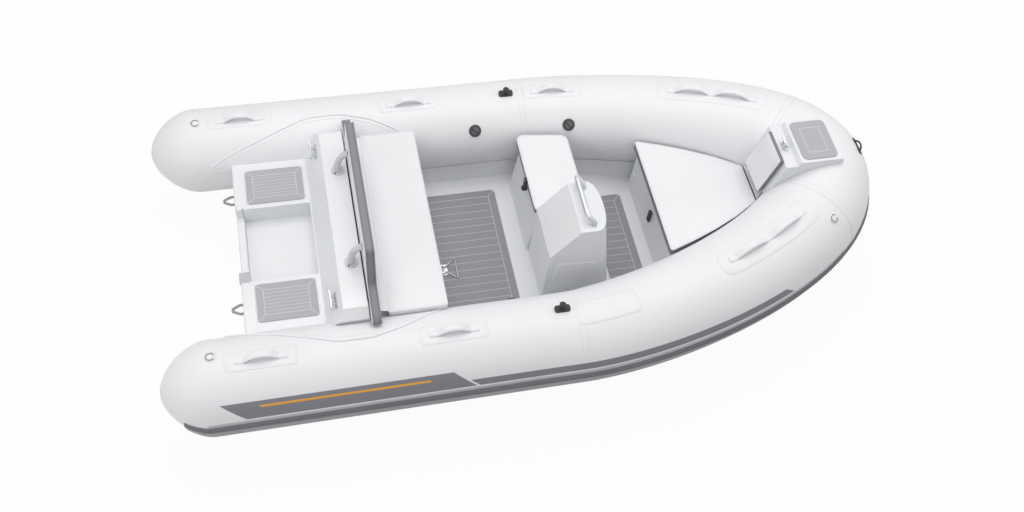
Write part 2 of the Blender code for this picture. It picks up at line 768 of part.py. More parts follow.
def build_console(root):
    top = CONSOLE_BOX_TOP
    lid_z = top + GAP
    pad_z = lid_z + LID_T + GAP
    aft = CONSOLE_AFT_X + OVERHANG
    fwd = CONSOLE_FWD_X - OVERHANG
    box_port = berth(fwd, TUBE_Z) - CONSOLE_BOX_CLEAR
    rim = rounded(rectangle(aft, fwd, CONSOLE_STBD_Y, box_port), 0.02, 2)
    foot = rounded(rectangle(aft - CONSOLE_DRAFT, fwd, CONSOLE_STBD_Y, box_port), 0.02, 2)
    add("console_seat_box", tray(foot, rim, FLOOR_Z + GAP, top, BOX_WALL), GELCOAT, root)
    axis = hinged("console_seat_hinge", root, CONSOLE_FWD_X, 0.0, lid_z)

    def plan(x0, margin):
        """The seat's corners: its port side follows the tube."""
        fwd_y = berth(CONSOLE_FWD_X, lid_z) - CONSOLE_CLEAR - margin
        aft_y = berth(x0, lid_z) - CONSOLE_CLEAR - margin
        return [(x0, CONSOLE_STBD_Y), (CONSOLE_FWD_X, CONSOLE_STBD_Y), (CONSOLE_FWD_X, fwd_y), (x0, aft_y)]

    outline = rounded(plan(aft, OVERHANG), 0.02, 2)
    add_on("console_seat_lid", slab(outline, lid_z, lid_z + LID_T), GELCOAT, axis, root)
    outline = rounded(plan(CONSOLE_AFT_X, 0.0), 0.045, 4)
    add_on("console_seat_cushion", cushion(split(outline, 0.09), pad_z, CUSHION_T, CROWN), VINYL, axis, root)
    latch_x = CONSOLE_AFT_X - GAP
    pivot_z = lid_z - 0.02
    axis = hinged("console_latch_hinge", root, latch_x - LATCH_T / 2, CONSOLE_LATCH_Y, pivot_z)
    y0, y1 = CONSOLE_LATCH_Y - LATCH_W / 2, CONSOLE_LATCH_Y + LATCH_W / 2
    lever = box(latch_x - LATCH_T, latch_x, y0, y1, pivot_z - 0.009, pad_z + CUSHION_T - CROWN)
    slope = math.atan2(CONSOLE_DRAFT, CONSOLE_BOX_TOP - FLOOR_Z - GAP)
    face = aft - (CONSOLE_BOX_TOP - pivot_z) * math.tan(slope)
    barrel = (face - axis.location.x) * math.cos(slope) - GAP
    boss = across_y(barrel, LATCH_W - 0.01, axis.location)
    add_on("console_latch", joined(lever, boss), BLACK_PLASTIC, axis, root)
    middle = (POD_PORT_Y + POD_STBD_Y) / 2
    half = (POD_PORT_Y - POD_STBD_Y) / 2

    def pod_ring(wall, z):
        flare = POD_FLARE * (POD_TOP - z) / (POD_TOP - FLOOR_Z)
        ring = [(POD_AFT_X + wall, middle + half - wall), (POD_AFT_X + wall, middle - half + wall)]
        for a in np.linspace(-math.pi / 2, math.pi / 2, 15):
            c, s = max(math.cos(a), 0.0) ** 0.85, math.sin(a)
            y = middle + (half - wall) * math.copysign(abs(s) ** 0.85, s)
            ring.append((POD_SHOULDER_X - wall + flare + (POD_NOSE_X - POD_SHOULDER_X) * c, y))
        return flat_ring(ring, z)

    def pod_shape(wall, low, high):
        bm = skin([pod_ring(wall, low), pod_ring(wall, high)])
        along = Vector((DASH_TOP_X - POD_AFT_X, 0, POD_TOP - DASH_LOW_Z)).normalized()
        out = Vector((-along.z, 0, along.x))
        spot = Vector((DASH_TOP_X, 0, POD_TOP)) - out * wall
        geom = bm.verts[:] + bm.edges[:] + bm.faces[:]
        cutline = bmesh.ops.bisect_plane(bm, geom=geom, plane_co=spot, plane_no=out, clear_outer=True)
        edges = [e for e in cutline["geom_cut"] if isinstance(e, bmesh.types.BMEdge)]
        bmesh.ops.contextual_create(bm, geom=edges)
        return bm

    pod = add("console_pod", pod_shape(0.0, FLOOR_Z + GAP, POD_TOP), GELCOAT, root)
    cut(pod, add("pod_hollow", pod_shape(POD_WALL, FLOOR_Z - 0.02, POD_TOP - POD_WALL), None, root))
    foot_z = POD_TOP + GAP
    high = foot_z + RAIL_UP
    bar_x = RAIL_FOOT_X - RAIL_LEAN
    route = [
        Vector((RAIL_FOOT_X, RAIL_PORT_Y, foot_z)),
        Vector((RAIL_FOOT_X, RAIL_PORT_Y, foot_z + 0.3 * RAIL_UP)),
        Vector((bar_x, RAIL_PORT_Y + RAIL_REACH, high)),
        Vector((bar_x, RAIL_STBD_Y + 0.02, high)),
        Vector((RAIL_FOOT_X, RAIL_STBD_Y, foot_z + 0.3 * RAIL_UP)),
        Vector((RAIL_FOOT_X, RAIL_STBD_Y, foot_z)),
    ]
    path = [route[0]]
    for a, b, c in zip(route, route[1:], route[2:]):
        one = b.lerp(a, min(0.45, 0.03 / (a - b).length))
        two = b.lerp(c, min(0.45, 0.03 / (c - b).length))
        for t in (0.0, 0.33, 0.67, 1.0):
            path.append(one.lerp(b, t).lerp(b.lerp(two, t), t))
    path.append(route[-1])
    rail = sweep(path, RAIL_R, 12)
    for v in rail.verts:
        v.co.z = max(v.co.z, foot_z)
    add("console_grab_rail", rail, STEEL, root)


def bow_outline(level, inset_by=0.0):
    """The bow locker's plan: it follows the tubes at this level."""
    half = []
    for x in np.linspace(BOW_AFT_X, BOW_FWD_X, BOW_OUTLINE_STEPS):
        half.append((float(x), berth(x, level) - BOW_CLEAR))
    points = [(x, -y) for x, y in half] + half[::-1]
    return inset(rounded(points, 0.03, 2), inset_by)


def build_bow(root):
    top = BOW_BOX_TOP
    lid_z = top + GAP
    pad_z = lid_z + LID_T + GAP
    rim = bow_outline(lid_z, BOW_BOX_INSET)
    add("bow_locker", tray(rim, rim, FLOOR_Z + GAP, top, BOX_WALL), GELCOAT, root)
    axis = hinged("bow_locker_hinge", root, BOW_FWD_X, 0.0, pad_z + CUSHION_T)
    add_on("bow_locker_lid", slab(bow_outline(lid_z, OVERHANG), lid_z, lid_z + LID_T), GELCOAT, axis, root)
    pad = cushion(split(bow_outline(lid_z), 0.09), pad_z, CUSHION_T, CROWN)
    add_on("bow_cushion", pad, VINYL, axis, root)
    face = BOW_AFT_X + BOW_BOX_INSET - GAP
    z1 = BOW_LATCH_Z + BOW_LATCH_H
    axis = hinged("bow_latch_hinge", root, face - LATCH_T / 2, BOW_LATCH_Y, z1 - LATCH_T / 2)
    y0, y1 = BOW_LATCH_Y - LATCH_W / 2, BOW_LATCH_Y + LATCH_W / 2
    lever = box(face - LATCH_T, face - 0.004, y0, y1, BOW_LATCH_Z, axis.location.z + 0.004)
    boss = across_y(LATCH_T / 2, LATCH_W - 0.01, axis.location)
    add_on("bow_latch", joined(lever, boss), BLACK_PLASTIC, axis, root)
    tilt = math.radians(BOLSTER_TILT)
    up = Vector((math.sin(tilt), 0, math.cos(tilt)))
    back = Vector((math.cos(tilt), 0, -math.sin(tilt)))
    half = BOLSTER_HALF
    outline = rounded(rectangle(-half, half, 0.0, BOLSTER_H), 0.012, 2)
    pad = cushion(split(outline, 0.07), 0.0, BOLSTER_T, CROWN)
    turn = Matrix((Vector((0, 1, 0)), up, -back)).transposed().to_4x4()
    spot = Vector((BOLSTER_X, 0, BOLSTER_LOW)) + back * BOLSTER_T
    at(add("bow_bolster", pad, VINYL, root), Matrix.Translation(spot) @ turn)
    seat_line = spot + back * GAP
    knee = seat_line + up * ((STEP_DECK_Z - seat_line.z) / up.z)
    low = seat_line + up * ((STEP_LOW_Z - seat_line.z) / up.z)
    profile = [
        (low.x, STEP_LOW_Z),
        (knee.x, STEP_DECK_Z),
        (STEP_AFT_X - 0.012, STEP_DECK_Z),
        (STEP_AFT_X, STEP_Z),
        (STEP_FWD_X, STEP_Z),
        (STEP_FWD_X + 0.012, STEP_Z - 0.02),
        (STEP_FWD_X + 0.012, STEP_LOW_Z),
    ]
    step = add("bow_step", prism_y(profile, STEP_HALF), GELCOAT, root)
    around = [tube_ring(s, side, TUBE_GAP / 4) for s, side in bow_stations()]
    cut(step, add("bow_step_seat", skin(around), None, root))
    m = STEP_PAD_MARGIN
    outline = rounded(rectangle(STEP_AFT_X + m, STEP_FWD_X - m, -STEP_HALF + m, STEP_HALF - m), 0.03, 4)
    z = STEP_Z + GAP
    add("bow_step_pad", slab(outline, z, z + MAT_T), GREY_MAT, root)
    spot = ((knee.x + STEP_AFT_X - 0.012) / 2, 0, STEP_DECK_Z + GAP)
    at(add("bow_cleat", cleat(0.07), STEEL, root), Matrix.Translation(spot))


def build_fittings(root):
    sites = [
        ("port", along_x(VALVE_X[0]), 1),
        ("starboard", along_x(VALVE_X[0]), -1),
        ("bow", along_x(VALVE_X[1]), 1),
    ]
    for name, s, side in sites:
        body = [(BARREL_R, -BARREL_L), (BARREL_R, 0.0), (VALVE_R, 0.0), (VALVE_R, VALVE_T * 0.5), (VALVE_R - 0.004, VALVE_T)]
        place = seat(s, VALVE_ANGLES[name], side, BEND_LIFT if s > 0 else 0.0)
        at(add("valve_body_" + name, lathe(body, 24), GREY_PLASTIC, root), place)
        cap = lathe([(CAP_R, 0.0), (CAP_R, CAP_T * 0.7), (CAP_R - 0.003, CAP_T)], 24)
        grip = box(-CAP_R * 0.75, CAP_R * 0.75, -0.004, 0.004, CAP_T - 0.002, CAP_T + 0.004)
        lift = Matrix.Translation((0, 0, VALVE_T + GAP))
        at(add("valve_cap_" + name, joined(cap, grip), GREY_PLASTIC, root), place @ lift)
    r = RELIEF_R
    relief = [(r, 0.0), (r, 0.004), (0.7 * r, 0.007), (0.7 * r, 0.011), (0.55 * r, 0.013)]
    spots = [("port", along_x(RELIEF_X), 1), ("starboard", along_x(RELIEF_X), -1), ("bow", RELIEF_BOW_S, -1)]
    for name, s, side in spots:
        place = seat(s, RELIEF_ANGLES[name], side, RELIEF_LIFT if s > 0 else 0.0)
        at(add("relief_valve_" + name, lathe(relief, 20), WHITE_FABRIC, root), place)
    names = ("stern", "middle", "forward")
    for name, x in zip(names, HANDLE_X):
        for label, side in (("port", 1), ("starboard", -1)):
            if name == "forward" and side < 0:
                continue
            bm = handle(along_x(x) - HANDLE_L / 2, along_x(x) + HANDLE_L / 2, 1, side)
            add(f"handle_{name}_{label}", bm, WHITE_FABRIC, root)
    for label, side in (("port", 1), ("starboard", -1)):
        bm = handle(along_x(TWIN_X[0]), along_x(TWIN_X[1]), 2, side)
        add("bow_handle_" + label, bm, WHITE_FABRIC, root)
        place = seat(along_x(OARLOCK_X), OARLOCK_ANGLES[label], side)
        length, width, height = OAR_BASE
        block = slab(rounded(rectangle(-length / 2, length / 2, -width / 2, width / 2), 0.012, 3), 0, height)
        at(add("oarlock_base_" + label, block, BLACK_PLASTIC, root), place)
        p, k = OAR_POST_R, OAR_KNOB_R
        h = OAR_POST_H
        knob = lathe([(p * 1.5, 0.0), (p, 0.004), (p, h), (k, h + 0.003), (k, h + 0.008), (0.6 * k, h + 0.013)], 18)
        lift = Matrix.Translation((0, 0, height + GAP))
        at(add("oarlock_knob_" + label, knob, BLACK_PLASTIC, root), place @ lift)
    reach = BOW_EYE_L / 2
    plate = box(-reach, reach, -0.012, 0.012, 0.0, 0.003)
    arch = []
    for a in np.linspace(0.0, math.pi, 9):
        arch.append(Vector((-0.6 * reach * math.cos(a), 0.0, 0.002 + BOW_EYE_H * math.sin(a))))
    eye = joined(plate, sweep(arch, 0.005, 8))
    at(add("bow_eye", eye, BLACK_PLASTIC, root), seat(BOW_S, BOW_EYE_ANGLE))


def handle(s0, s1, arches, side):
    """A strap on flat feet with an arch for the hand between each two feet."""
    span = (s1 - s0 - HANDLE_FOOT) / arches
    rows = [(s0, 0.0), (s0 + HANDLE_FOOT * 0.8, 0.0)]
    for k in range(arches):
        a = s0 + HANDLE_FOOT + span * k
        b = a + span - HANDLE_FOOT
        for q in np.linspace(0.06, 0.94, 9):
            rows.append((a + (b - a) * q, HANDLE_H * math.sin(math.pi * q) ** 0.6))
        rows.append((b + HANDLE_FOOT * 0.2, 0.0))
        rows.append((b + HANDLE_FOOT * 0.8 if k + 1 < arches else b + HANDLE_FOOT, 0.0))
    rings = []
    for s, h in rows:
        p, along, inboard, up = frame(s)
        base = tube_radius(s) * FACE + GAP + 0.0004
        ring = []
        for w, t in ((-0.5, 0.0), (0.5, 0.0), (0.5, 0.6), (0.3, 1.0), (-0.3, 1.0), (-0.5, 0.6)):
            ring.append(mirror(p + up * (base + h + t * HANDLE_T) + inboard * w * HANDLE_W, side))
        rings.append(ring)
    return skin(rings)


def build_floor(root):
    z = FLOOR_Z + GAP
    aft_x = REAR_FWD_X - OVERHANG + GAP
    outline = rounded(rectangle(aft_x, AFT_MAT_FWD_X, -AFT_MAT_HALF, AFT_MAT_HALF), 0.02, 3)
    add("aft_floor_mat", slab(outline, z, z + MAT_T), GREY_MAT, root)
    nose = POD_NOSE_X + POD_FLARE + MAT_POD_GAP
    x0, x1 = FWD_MAT_X
    y0, y1 = FWD_MAT_Y
    step_y = POD_PORT_Y + MAT_POD_GAP
    corners = [(nose, y0), (x1, y0), (x1, y1), (x0, y1), (x0, step_y), (nose, step_y)]
    outline = rounded(corners, 0.02, 3)
    add("forward_floor_mat", slab(outline, z, z + MAT_T), GREY_MAT, root)
    top = z + MAT_T + GAP
    r = 0.0035
    ear = 0.006
    gap = 0.018
    plate = box(-0.022, 0.022, -gap - ear - 0.008, gap + ear + 0.008, 0, 0.003)
    ears = [box(-0.007, 0.007, s * gap, s * (gap + ear), 0.001, 0.016) for s in (1, -1)]
    place = Matrix.Translation((RING_X, RING_Y, top))
    at(add("floor_ring_base", joined(plate, *ears), STEEL, root), place)
    pin_z = 0.011
    axis = hinged("floor_ring_hinge", root, RING_X, RING_Y, top + pin_z)
    half = gap - HINGE_GAP
    bar = sweep([Vector((0, -half, 0)), Vector((0, half, 0))], r, 8)
    lay = -(pin_z - r - HINGE_GAP)
    corners = [(0.0, -half + r, 0.0), (0.012, -half + r, 0.0), (0.07, -0.062, lay), (0.07, 0.062, lay)]
    corners += [(0.012, half - r, 0.0), (0.0, half - r, 0.0)]
    path = []
    for a, b in zip(corners, corners[1:]):
        for k in range(3):
            path.append(Vector(a).lerp(Vector(b), k / 3))
    path.append(Vector(corners[-1]))
    add("floor_ring", joined(bar, sweep(path, r, 8)), STEEL, axis)


def main():
    clear_scene()
    root = bpy.data.objects.new("boat", None)
    bpy.context.scene.collection.objects.link(root)
    front = BOW_AXIS_X + tube_radius(BOW_S) + STRAKE_T
    root.location = (-(STERN_TIP_X + front) / 2, 0, 0)
    bpy.context.view_layer.update()
    build_tubes(root)
    build_strake(root)
    build_hull(root)
    build_stern(root)
    build_rear_seat(root)
    build_console(root)
    build_bow(root)
    build_fittings(root)
    build_floor(root)


main()
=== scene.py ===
"""Looks of a rigid-hull inflatable tender, dressed around its solid frame."""

import json
import math

import bmesh
import bpy
import numpy as np
from bpy.props import FloatProperty, FloatVectorProperty, IntProperty, PointerProperty
from mathutils import Matrix, Vector


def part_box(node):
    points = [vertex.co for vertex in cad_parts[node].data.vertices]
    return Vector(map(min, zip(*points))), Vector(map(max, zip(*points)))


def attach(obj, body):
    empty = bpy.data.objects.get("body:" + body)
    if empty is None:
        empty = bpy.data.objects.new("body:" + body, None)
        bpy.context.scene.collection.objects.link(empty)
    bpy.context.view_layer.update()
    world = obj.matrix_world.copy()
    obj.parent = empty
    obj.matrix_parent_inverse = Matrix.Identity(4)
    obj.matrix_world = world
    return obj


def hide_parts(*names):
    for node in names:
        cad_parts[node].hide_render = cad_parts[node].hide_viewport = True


bl_info = {
    "name": "Inflatable tender",
    "version": (1, 0, 0),
    "blender": (4, 5, 0),
    "location": "View3D > Sidebar > Tender",
    "description": "Dresses the frame of a rigid-hull inflatable tender",
    "category": "Object",
}

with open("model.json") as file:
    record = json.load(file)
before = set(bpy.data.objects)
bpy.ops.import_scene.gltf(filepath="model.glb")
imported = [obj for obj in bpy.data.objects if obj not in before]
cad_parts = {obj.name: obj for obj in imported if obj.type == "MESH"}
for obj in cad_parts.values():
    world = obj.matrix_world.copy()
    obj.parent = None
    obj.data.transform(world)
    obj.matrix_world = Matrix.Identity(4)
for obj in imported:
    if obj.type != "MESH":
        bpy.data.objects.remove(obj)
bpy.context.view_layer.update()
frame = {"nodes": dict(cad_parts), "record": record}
NODES = frame["nodes"]
JOINTS = {joint["name"]: joint for joint in frame["record"]["behaviour"]["joints"]}
ROOT = "boat"
SIDES = (("port", 1), ("starboard", -1))

# The tube's centre line, as the frame has it: straight from the stern, then a bend to the bow.
SHIFT = -0.04201
TUBE_R = 0.215
SPREAD = 0.685
AXIS_Z = 0.42
STERN_TIP = -1.80 + SHIFT
STERN_CONE = 0.22
CONE_FALL = 1.6
CONE_ROUND = 1.8
SEAM_X = 0.13 + SHIFT
BEND_X = 0.106 + SHIFT
BOW_X = 1.607 + SHIFT
BOW_RISE = 0.145
BOW_SWELL = 0.228
SWELL_POWER = 0.79
BEND_ALONG = 1.57
BEND_ACROSS = 2.037
STRAKE_TOP = 175.0
STRAKE_LOW = 215.0
STRAKE_AFT_X = -1.701 + SHIFT

# Plain bands on the tubes' outer side: colour, angles round the tube, lengths along it, slanted ends or not.
BANDS = (
    ("stripe", (141.0, 166.5), (-1.60, -0.56), True),
    ("stripe", (155.5, 166.5), (-0.545, 1.02), True),
    ("amber", (147.0, 150.2), (-1.46, -0.70), True),
    ("pale", (169.0, 175.5), (-1.70, 1.4), False),
)
SLANT_FROM = 150.0
SLANT = 0.0042

# Rings along the tubes, from the stern tip on, and the small gap between two chambers.
CONE_SHARES = (1.0, 0.995, 0.985, 0.965, 0.935, 0.9, 0.84, 0.76, 0.66, 0.55, 0.42, 0.28, 0.14)
STRAIGHT_RINGS = 12
BOW_RINGS = 47
CHAMBER_GAP = 0.0002

# Tapes and flaps: spans are angles round the tube, runs are lengths along it, and BED is the glue line.
BED = 0.0001
TAPE_FOOT = 0.0002
TAPE_RISE = 0.7
TAPE_BEVEL = 0.88
TAPE_RINGS = 69
SEAM_TAPE_SPAN = (-60.0, 138.0)
BOW_TAPE_SPAN = (-80.0, 260.0)
BOW_TAPE_BACK = 0.29
JOINT_TAPE_SPAN = (-41.0, -27.0)
JOINT_TAPE_RUN = (-1.15, 0.82)
JOINT_TAPE_RINGS = 45
SHEET_POINTS = 13
SHEET_BACK = -0.001
FLAP_FOOT = 16.0
FLAP_EDGE = ((-1.60, 28.0), (-1.51, 41.0), (-1.23, 70.0), (-1.10, 83.0))
FLAP_EDGE += ((-0.94, 83.5), (-0.80, 74.0), (-0.66, 55.0), (-0.58, 38.0))
FLAP_RINGS = 61
FLAP_WELTS = ((0.8, 0.004), (6.5, 0.002))

# Patches: length, girth and corner radius of each, and where the fittings on the tubes lie.
HANDLE_PATCH = (0.32, 0.095, 0.02)
HANDLE_PATCH_ANGLE = 91.0
HANDLE_X = {"stern": -1.333 + SHIFT, "middle": -0.466 + SHIFT, "forward": 0.309 + SHIFT}
BOW_PATCH = (0.60, 0.14, 0.05)
BOW_PATCH_ANGLE = 92.0
BOW_HANDLE_RUN = (0.93 + SHIFT, 1.365 + SHIFT)
OARLOCK_PATCH = (0.13, 0.10, 0.03)
OARLOCK_X = 0.055 + SHIFT
WEAR_PATCH = (0.32, 0.125, 0.025)
WEAR_X = 0.275 + SHIFT
WEAR_ANGLE = 90.0
PATCH_POINTS = 40
PATCH_SHARES = (0.8, 0.55, 0.3, 0.1)
TOP_ANGLE = {"port": 90.0, "starboard": 80.0}
RELIEF_X = -1.55 + SHIFT
RELIEF_BOW_S = 1.407
RELIEF_BOW_ANGLE = 120.0

# Half of the strake's section: share of its width and height off the tube. The channel lies between the ribs.
STRAKE_SHAPE = ((0.0, 0.001), (0.02, 0.008), (0.05, 0.0125), (0.11, 0.013))
STRAKE_SHAPE += ((0.17, 0.0125), (0.21, 0.010), (0.23, 0.0085), (0.5, 0.0088))
STRAKE_CHANNEL = range(5, 10)
STRAKE_BACK = (0.8, 0.5, 0.2)
STRAKE_BED = 0.0003

# Moulded pieces. A rim gives how far in and how far out each ring of a thin plate lies.
MERGE = 0.00001
FLAT_ANGLE = 0.7
EDGE_ANGLE = 28.0
CORNER_STEPS = 6
LEDGE_GAP = 0.0005
LEDGE_CLEAR = 0.001
LEDGE_RIM = ((0.0, -0.006), (0.0, -0.0025), (0.0015, -0.0015))
CAP_AFT = 0.004
CAP_MARGIN = 0.006
CAP_INNER = 0.217
CAP_CORNER = 0.012
CAP_RIM = ((0.0, 0.0002), (0.0, 0.0010), (0.0016, 0.0018), (0.004, 0.0019))
LOCKER_PLATE = ((0.262, 0.295), (0.294, 0.345))
LOCKER_PLATE_CORNER = 0.008
LOCKER_PLATE_RIM = ((0.0, -0.0002), (0.0, 0.003), (0.002, 0.0045), (0.006, 0.005))
POD_PANEL = ((0.095, 0.25), (0.345, 0.25), (0.325, 0.505), (0.115, 0.53))
POD_PANEL_CORNER = 0.03
POD_PANEL_RIM = ((0.0, -0.0005), (0.006, 0.0035), (0.014, 0.0035))
PLANK_LEAD = 10.5

# Cushions: how they are filled, then their seams, corners and clearances.
FILL_FRAMES = 20
FILL_PRESSURE = 4.0
COVER_MASS = 0.3
SEAM_REACH = 1.6
COVER_FOOT = ((0.007, 0.0), (0.0015, 0.005), (0.0, 0.010))
COVER_TOP = ((0.0, 0.012), (0.0015, 0.005), (0.007, 0.0))
WELT_LOW = 0.006
WELT_TOP = 0.004
PAD_EDGE = 0.03
PAD_CORNER = 0.016
PAD_CLEAR = 0.004
CONSOLE_PAD_CORNER = 0.045
BOW_PAD_POINTS = 5
BACKREST_HALF = ((0.595, 0.625), (0.605, 0.655), (0.575, 0.675), (0.425, 0.70), (0.375, 0.912))
BACKREST_CORNER = 0.02
BOLSTER_TILT = 11.0
BOLSTER_FOOT = (1.222 + SHIFT, 0, 0.605)
BOLSTER_HALF = 0.10
BOLSTER_TALL = 0.25
BOLSTER_THICK = 0.042
BOLSTER_CORNER = 0.012
REAR_FLAP_UNDER = 0.006
REAR_FLAP_LAP = 0.03
REAR_FLAP_TAPER = 0.016
REAR_FLAP_DOWN = 0.003
REAR_FLAP_THICK = 0.003
BOW_FLAP_RUN = (0.0035, 0.085)
BOW_FLAP_CLEAR = 0.006
BOW_FLAP_POINTS = 8
BOW_FLAP_THICK = 0.0014

# Turned fittings: (radius, height) pairs from the bottom to the top.
VALVE_RIM = ((0.026, 0.0), (0.026, 0.0055), (0.0245, 0.0075))
VALVE_RIM += ((0.0215, 0.0078), (0.0205, 0.0035), (0.002, 0.003))
VALVE_DISH = ((0.0203, 0.0028), (0.0203, 0.0042), (0.018, 0.0048), (0.002, 0.0052))
VALVE_TEETH = 0.02
VALVE_BAR = (0.0195, 0.0045)
VALVE_BAR_CORNER = 0.004
VALVE_BAR_RIM = ((0.0, 0.003), (0.0, 0.0095), (0.0012, 0.0115), (0.003, 0.0118))
VALVE_TURN = -35.0
RELIEF_DOME = ((0.026, -0.001), (0.026, 0.0028), (0.0245, 0.0042), (0.0195, 0.005), (0.0195, 0.0036))
RELIEF_DOME += ((0.0145, 0.0036), (0.0145, 0.0056), (0.0135, 0.0068), (0.010, 0.0076), (0.002, 0.008))
# The open grey ring is painted shade: a C-shaped bead in the cast grey where the raised disc casts its
# shadow, open on the lit side.
RELIEF_SHADE_RING = (0.0195, 0.0052)
RELIEF_SHADE_BEAD = 0.0024
RELIEF_SHADE_ARC = (35.0, 325.0)
RELIEF_SINK = -0.0006
SCREW_HEAD = ((0.0045, 0.0), (0.0045, 0.0012), (0.003, 0.0026), (0.0008, 0.003))
SCREW_CIRCLE = 0.0245
SCREW_ANGLES = (55.0, 235.0)
FOOT_MIDDLE = 0.032
FOOT_THICK = 0.0058
BEAD_SIDES = 8

# The finish of each fitting that keeps its solid, by the start of its name.
FITTINGS = {
    "steel": ("console_grab_rail", "floor_ring", "bow_cleat", "stern_cleat"),
    "black": ("console_latch", "bow_latch", "bow_eye", "oarlock"),
    "cap": ("valve_body",),
    "fabric": ("handle", "bow_handle"),
    "bracket": ("backrest_bracket",),
    "pale": ("clamp_pad",),
    "cast": ("tow_eye",),
}

# The camera looks at its target from this turn, rise and roll in degrees.
CAMERA_ANGLES = (-20.092, 56.913, 9.899)
CAMERA_TARGET = (-0.001 + SHIFT, 0.0, -0.314 + AXIS_Z)
CAMERA_REACH = 5.684
SENSOR = 36.0
FOCAL_SHARE = 1050.673 / 1024
PAPER_Z = -0.004
PAPER_HALF = 30.0

# Lamps: place, size and power of each.
LAMPS = {
    "key": ((-0.5, 1.1, 6.0), 4.0, 148.0),
    "bow_fill": ((3.4, 0.2, 4.0), 4.0, 48.0),
    "stern_fill": ((-5.0, -2.2, 3.4), 4.0, 66.0),
}


class TenderSizes(bpy.types.PropertyGroup):
    """Sizes of the finer forms."""

    def length(label, about, value):
        return FloatProperty(name=label, description=about, default=value, unit="LENGTH")

    tape_width: length("Seam tape", "Width of the tape over a tube seam", 0.03)
    tape_thick: length("Tape thickness", "How far a tape or patch stands out", 0.0012)
    flap_thick: length("Flap thickness", "Thickness of the fabric flap beside the stern deck", 0.003)
    hull_edge: length("Hull edge", "Edge radius of the hull and its liner", 0.003)
    mould_edge: length("Moulded edge", "Edge radius of the moulded deck", 0.008)
    step_edge: length("Step edge", "Edge radius of the bow step", 0.018)
    box_edge: length("Box edge", "Edge radius of seat boxes and lids", 0.004)
    fill_room: length("Filling room", "How far a cushion's face may swell when it is filled", 0.010)
    piping: length("Piping", "Radius of the cushion piping", 0.003)
    planks: IntProperty(name="Planks", description="Planks across the aft floor mat", default=15)
    tube_sides: IntProperty(name="Tube sides", description="Faces round a tube", default=72)
    del length


class TenderColours(bpy.types.PropertyGroup):
    """Colours of the finishes."""

    def tint(label, value):
        return FloatVectorProperty(
            name=label, description=label + " colour", subtype="COLOR", size=3, min=0, max=1, default=value
        )

    fabric: tint("Tube fabric", (0.80, 0.805, 0.82))
    gelcoat: tint("Gelcoat", (0.78, 0.79, 0.805))
    vinyl: tint("Vinyl", (0.81, 0.815, 0.83))
    gusset: tint("Gusset", (0.225, 0.226, 0.243))
    mat: tint("Floor mat", (0.325, 0.325, 0.345))
    pale_mat: tint("Platform mat", (0.46, 0.46, 0.485))
    caulk: tint("Mat lines", (0.72, 0.72, 0.73))
    dark: tint("Dark rubber", (0.15, 0.155, 0.17))
    stripe: tint("Stripe", (0.205, 0.212, 0.235))
    middle: tint("Middle rubber", (0.36, 0.365, 0.385))
    pale: tint("Pale rubber", (0.52, 0.525, 0.54))
    amber: tint("Amber", (0.80, 0.37, 0.04))
    black: tint("Black plastic", (0.022, 0.022, 0.025))
    cap: tint("Valve ring", (0.06, 0.062, 0.066))
    dish: tint("Valve dish", (0.16, 0.163, 0.17))
    steel: tint("Steel", (0.60, 0.61, 0.63))
    # The cast grey is the tow eyes' own colour, and it also paints the shade ring on the relief valves.
    cast: tint("Cast metal", (0.30, 0.305, 0.315))
    # The tape and patch rim greys go on the raised rims: the glue line together with painted shade for the
    # shadow line at each step.
    edge: tint("Tape edge", (0.66, 0.665, 0.68))
    rim: tint("Patch edge", (0.74, 0.745, 0.76))
    bracket: tint("Painted bracket", (0.62, 0.63, 0.65))
    del tint


class Wire:
    """A shader socket in an expression: its operators add Math nodes."""

    def __init__(self, tree, socket=None):
        self.tree = tree
        self.socket = socket

    def node(self, kind, settings=None, links=None, out=0):
        """Any node: its type, its settings, then the values or links of its sockets."""
        made = self.tree.nodes.new("ShaderNode" + kind)
        for key, value in (settings or {}).items():
            setattr(made, key, value)
        for key, value in (links or {}).items():
            if isinstance(value, Wire):
                self.tree.links.new(value.socket, made.inputs[key])
            else:
                made.inputs[key].default_value = value
        return Wire(self.tree, made.outputs[out])

    def math(self, operation, *values):
        return self.node("Math", {"operation": operation}, dict(enumerate(values)))

    def __add__(self, other):
        return self.math("ADD", self, other)

    def __sub__(self, other):
        return self.math("SUBTRACT", self, other)

    def __rsub__(self, other):
        return self.math("SUBTRACT", other, self)

    def __mul__(self, other):
        return self.math("MULTIPLY", self, other)

    def __truediv__(self, other):
        return self.math("DIVIDE", self, other)

    __radd__ = __add__
    __rmul__ = __mul__

    def least(self, other):
        return self.math("MINIMUM", self, other)

    def most(self, other):
        return self.math("MAXIMUM", self, other)

    def above(self, edge, soft):
        """0 below the edge and 1 above it, over a soft width."""
        links = {"Value": self, 1: edge - soft, 2: edge + soft, 3: 0.0, 4: 1.0}
        return self.node("MapRange", {"interpolation_type": "SMOOTHSTEP"}, links)

    def between(self, low, high, soft):
        return self.above(low, soft) * (1 - self.above(high, soft))


def mixed(low, high, factor):
    links = {"Factor": factor, 6: low, 7: high}
    return factor.node("Mix", {"data_type": "RGBA"}, links, out=2)


def solid(colour):
    return (*colour, 1.0)


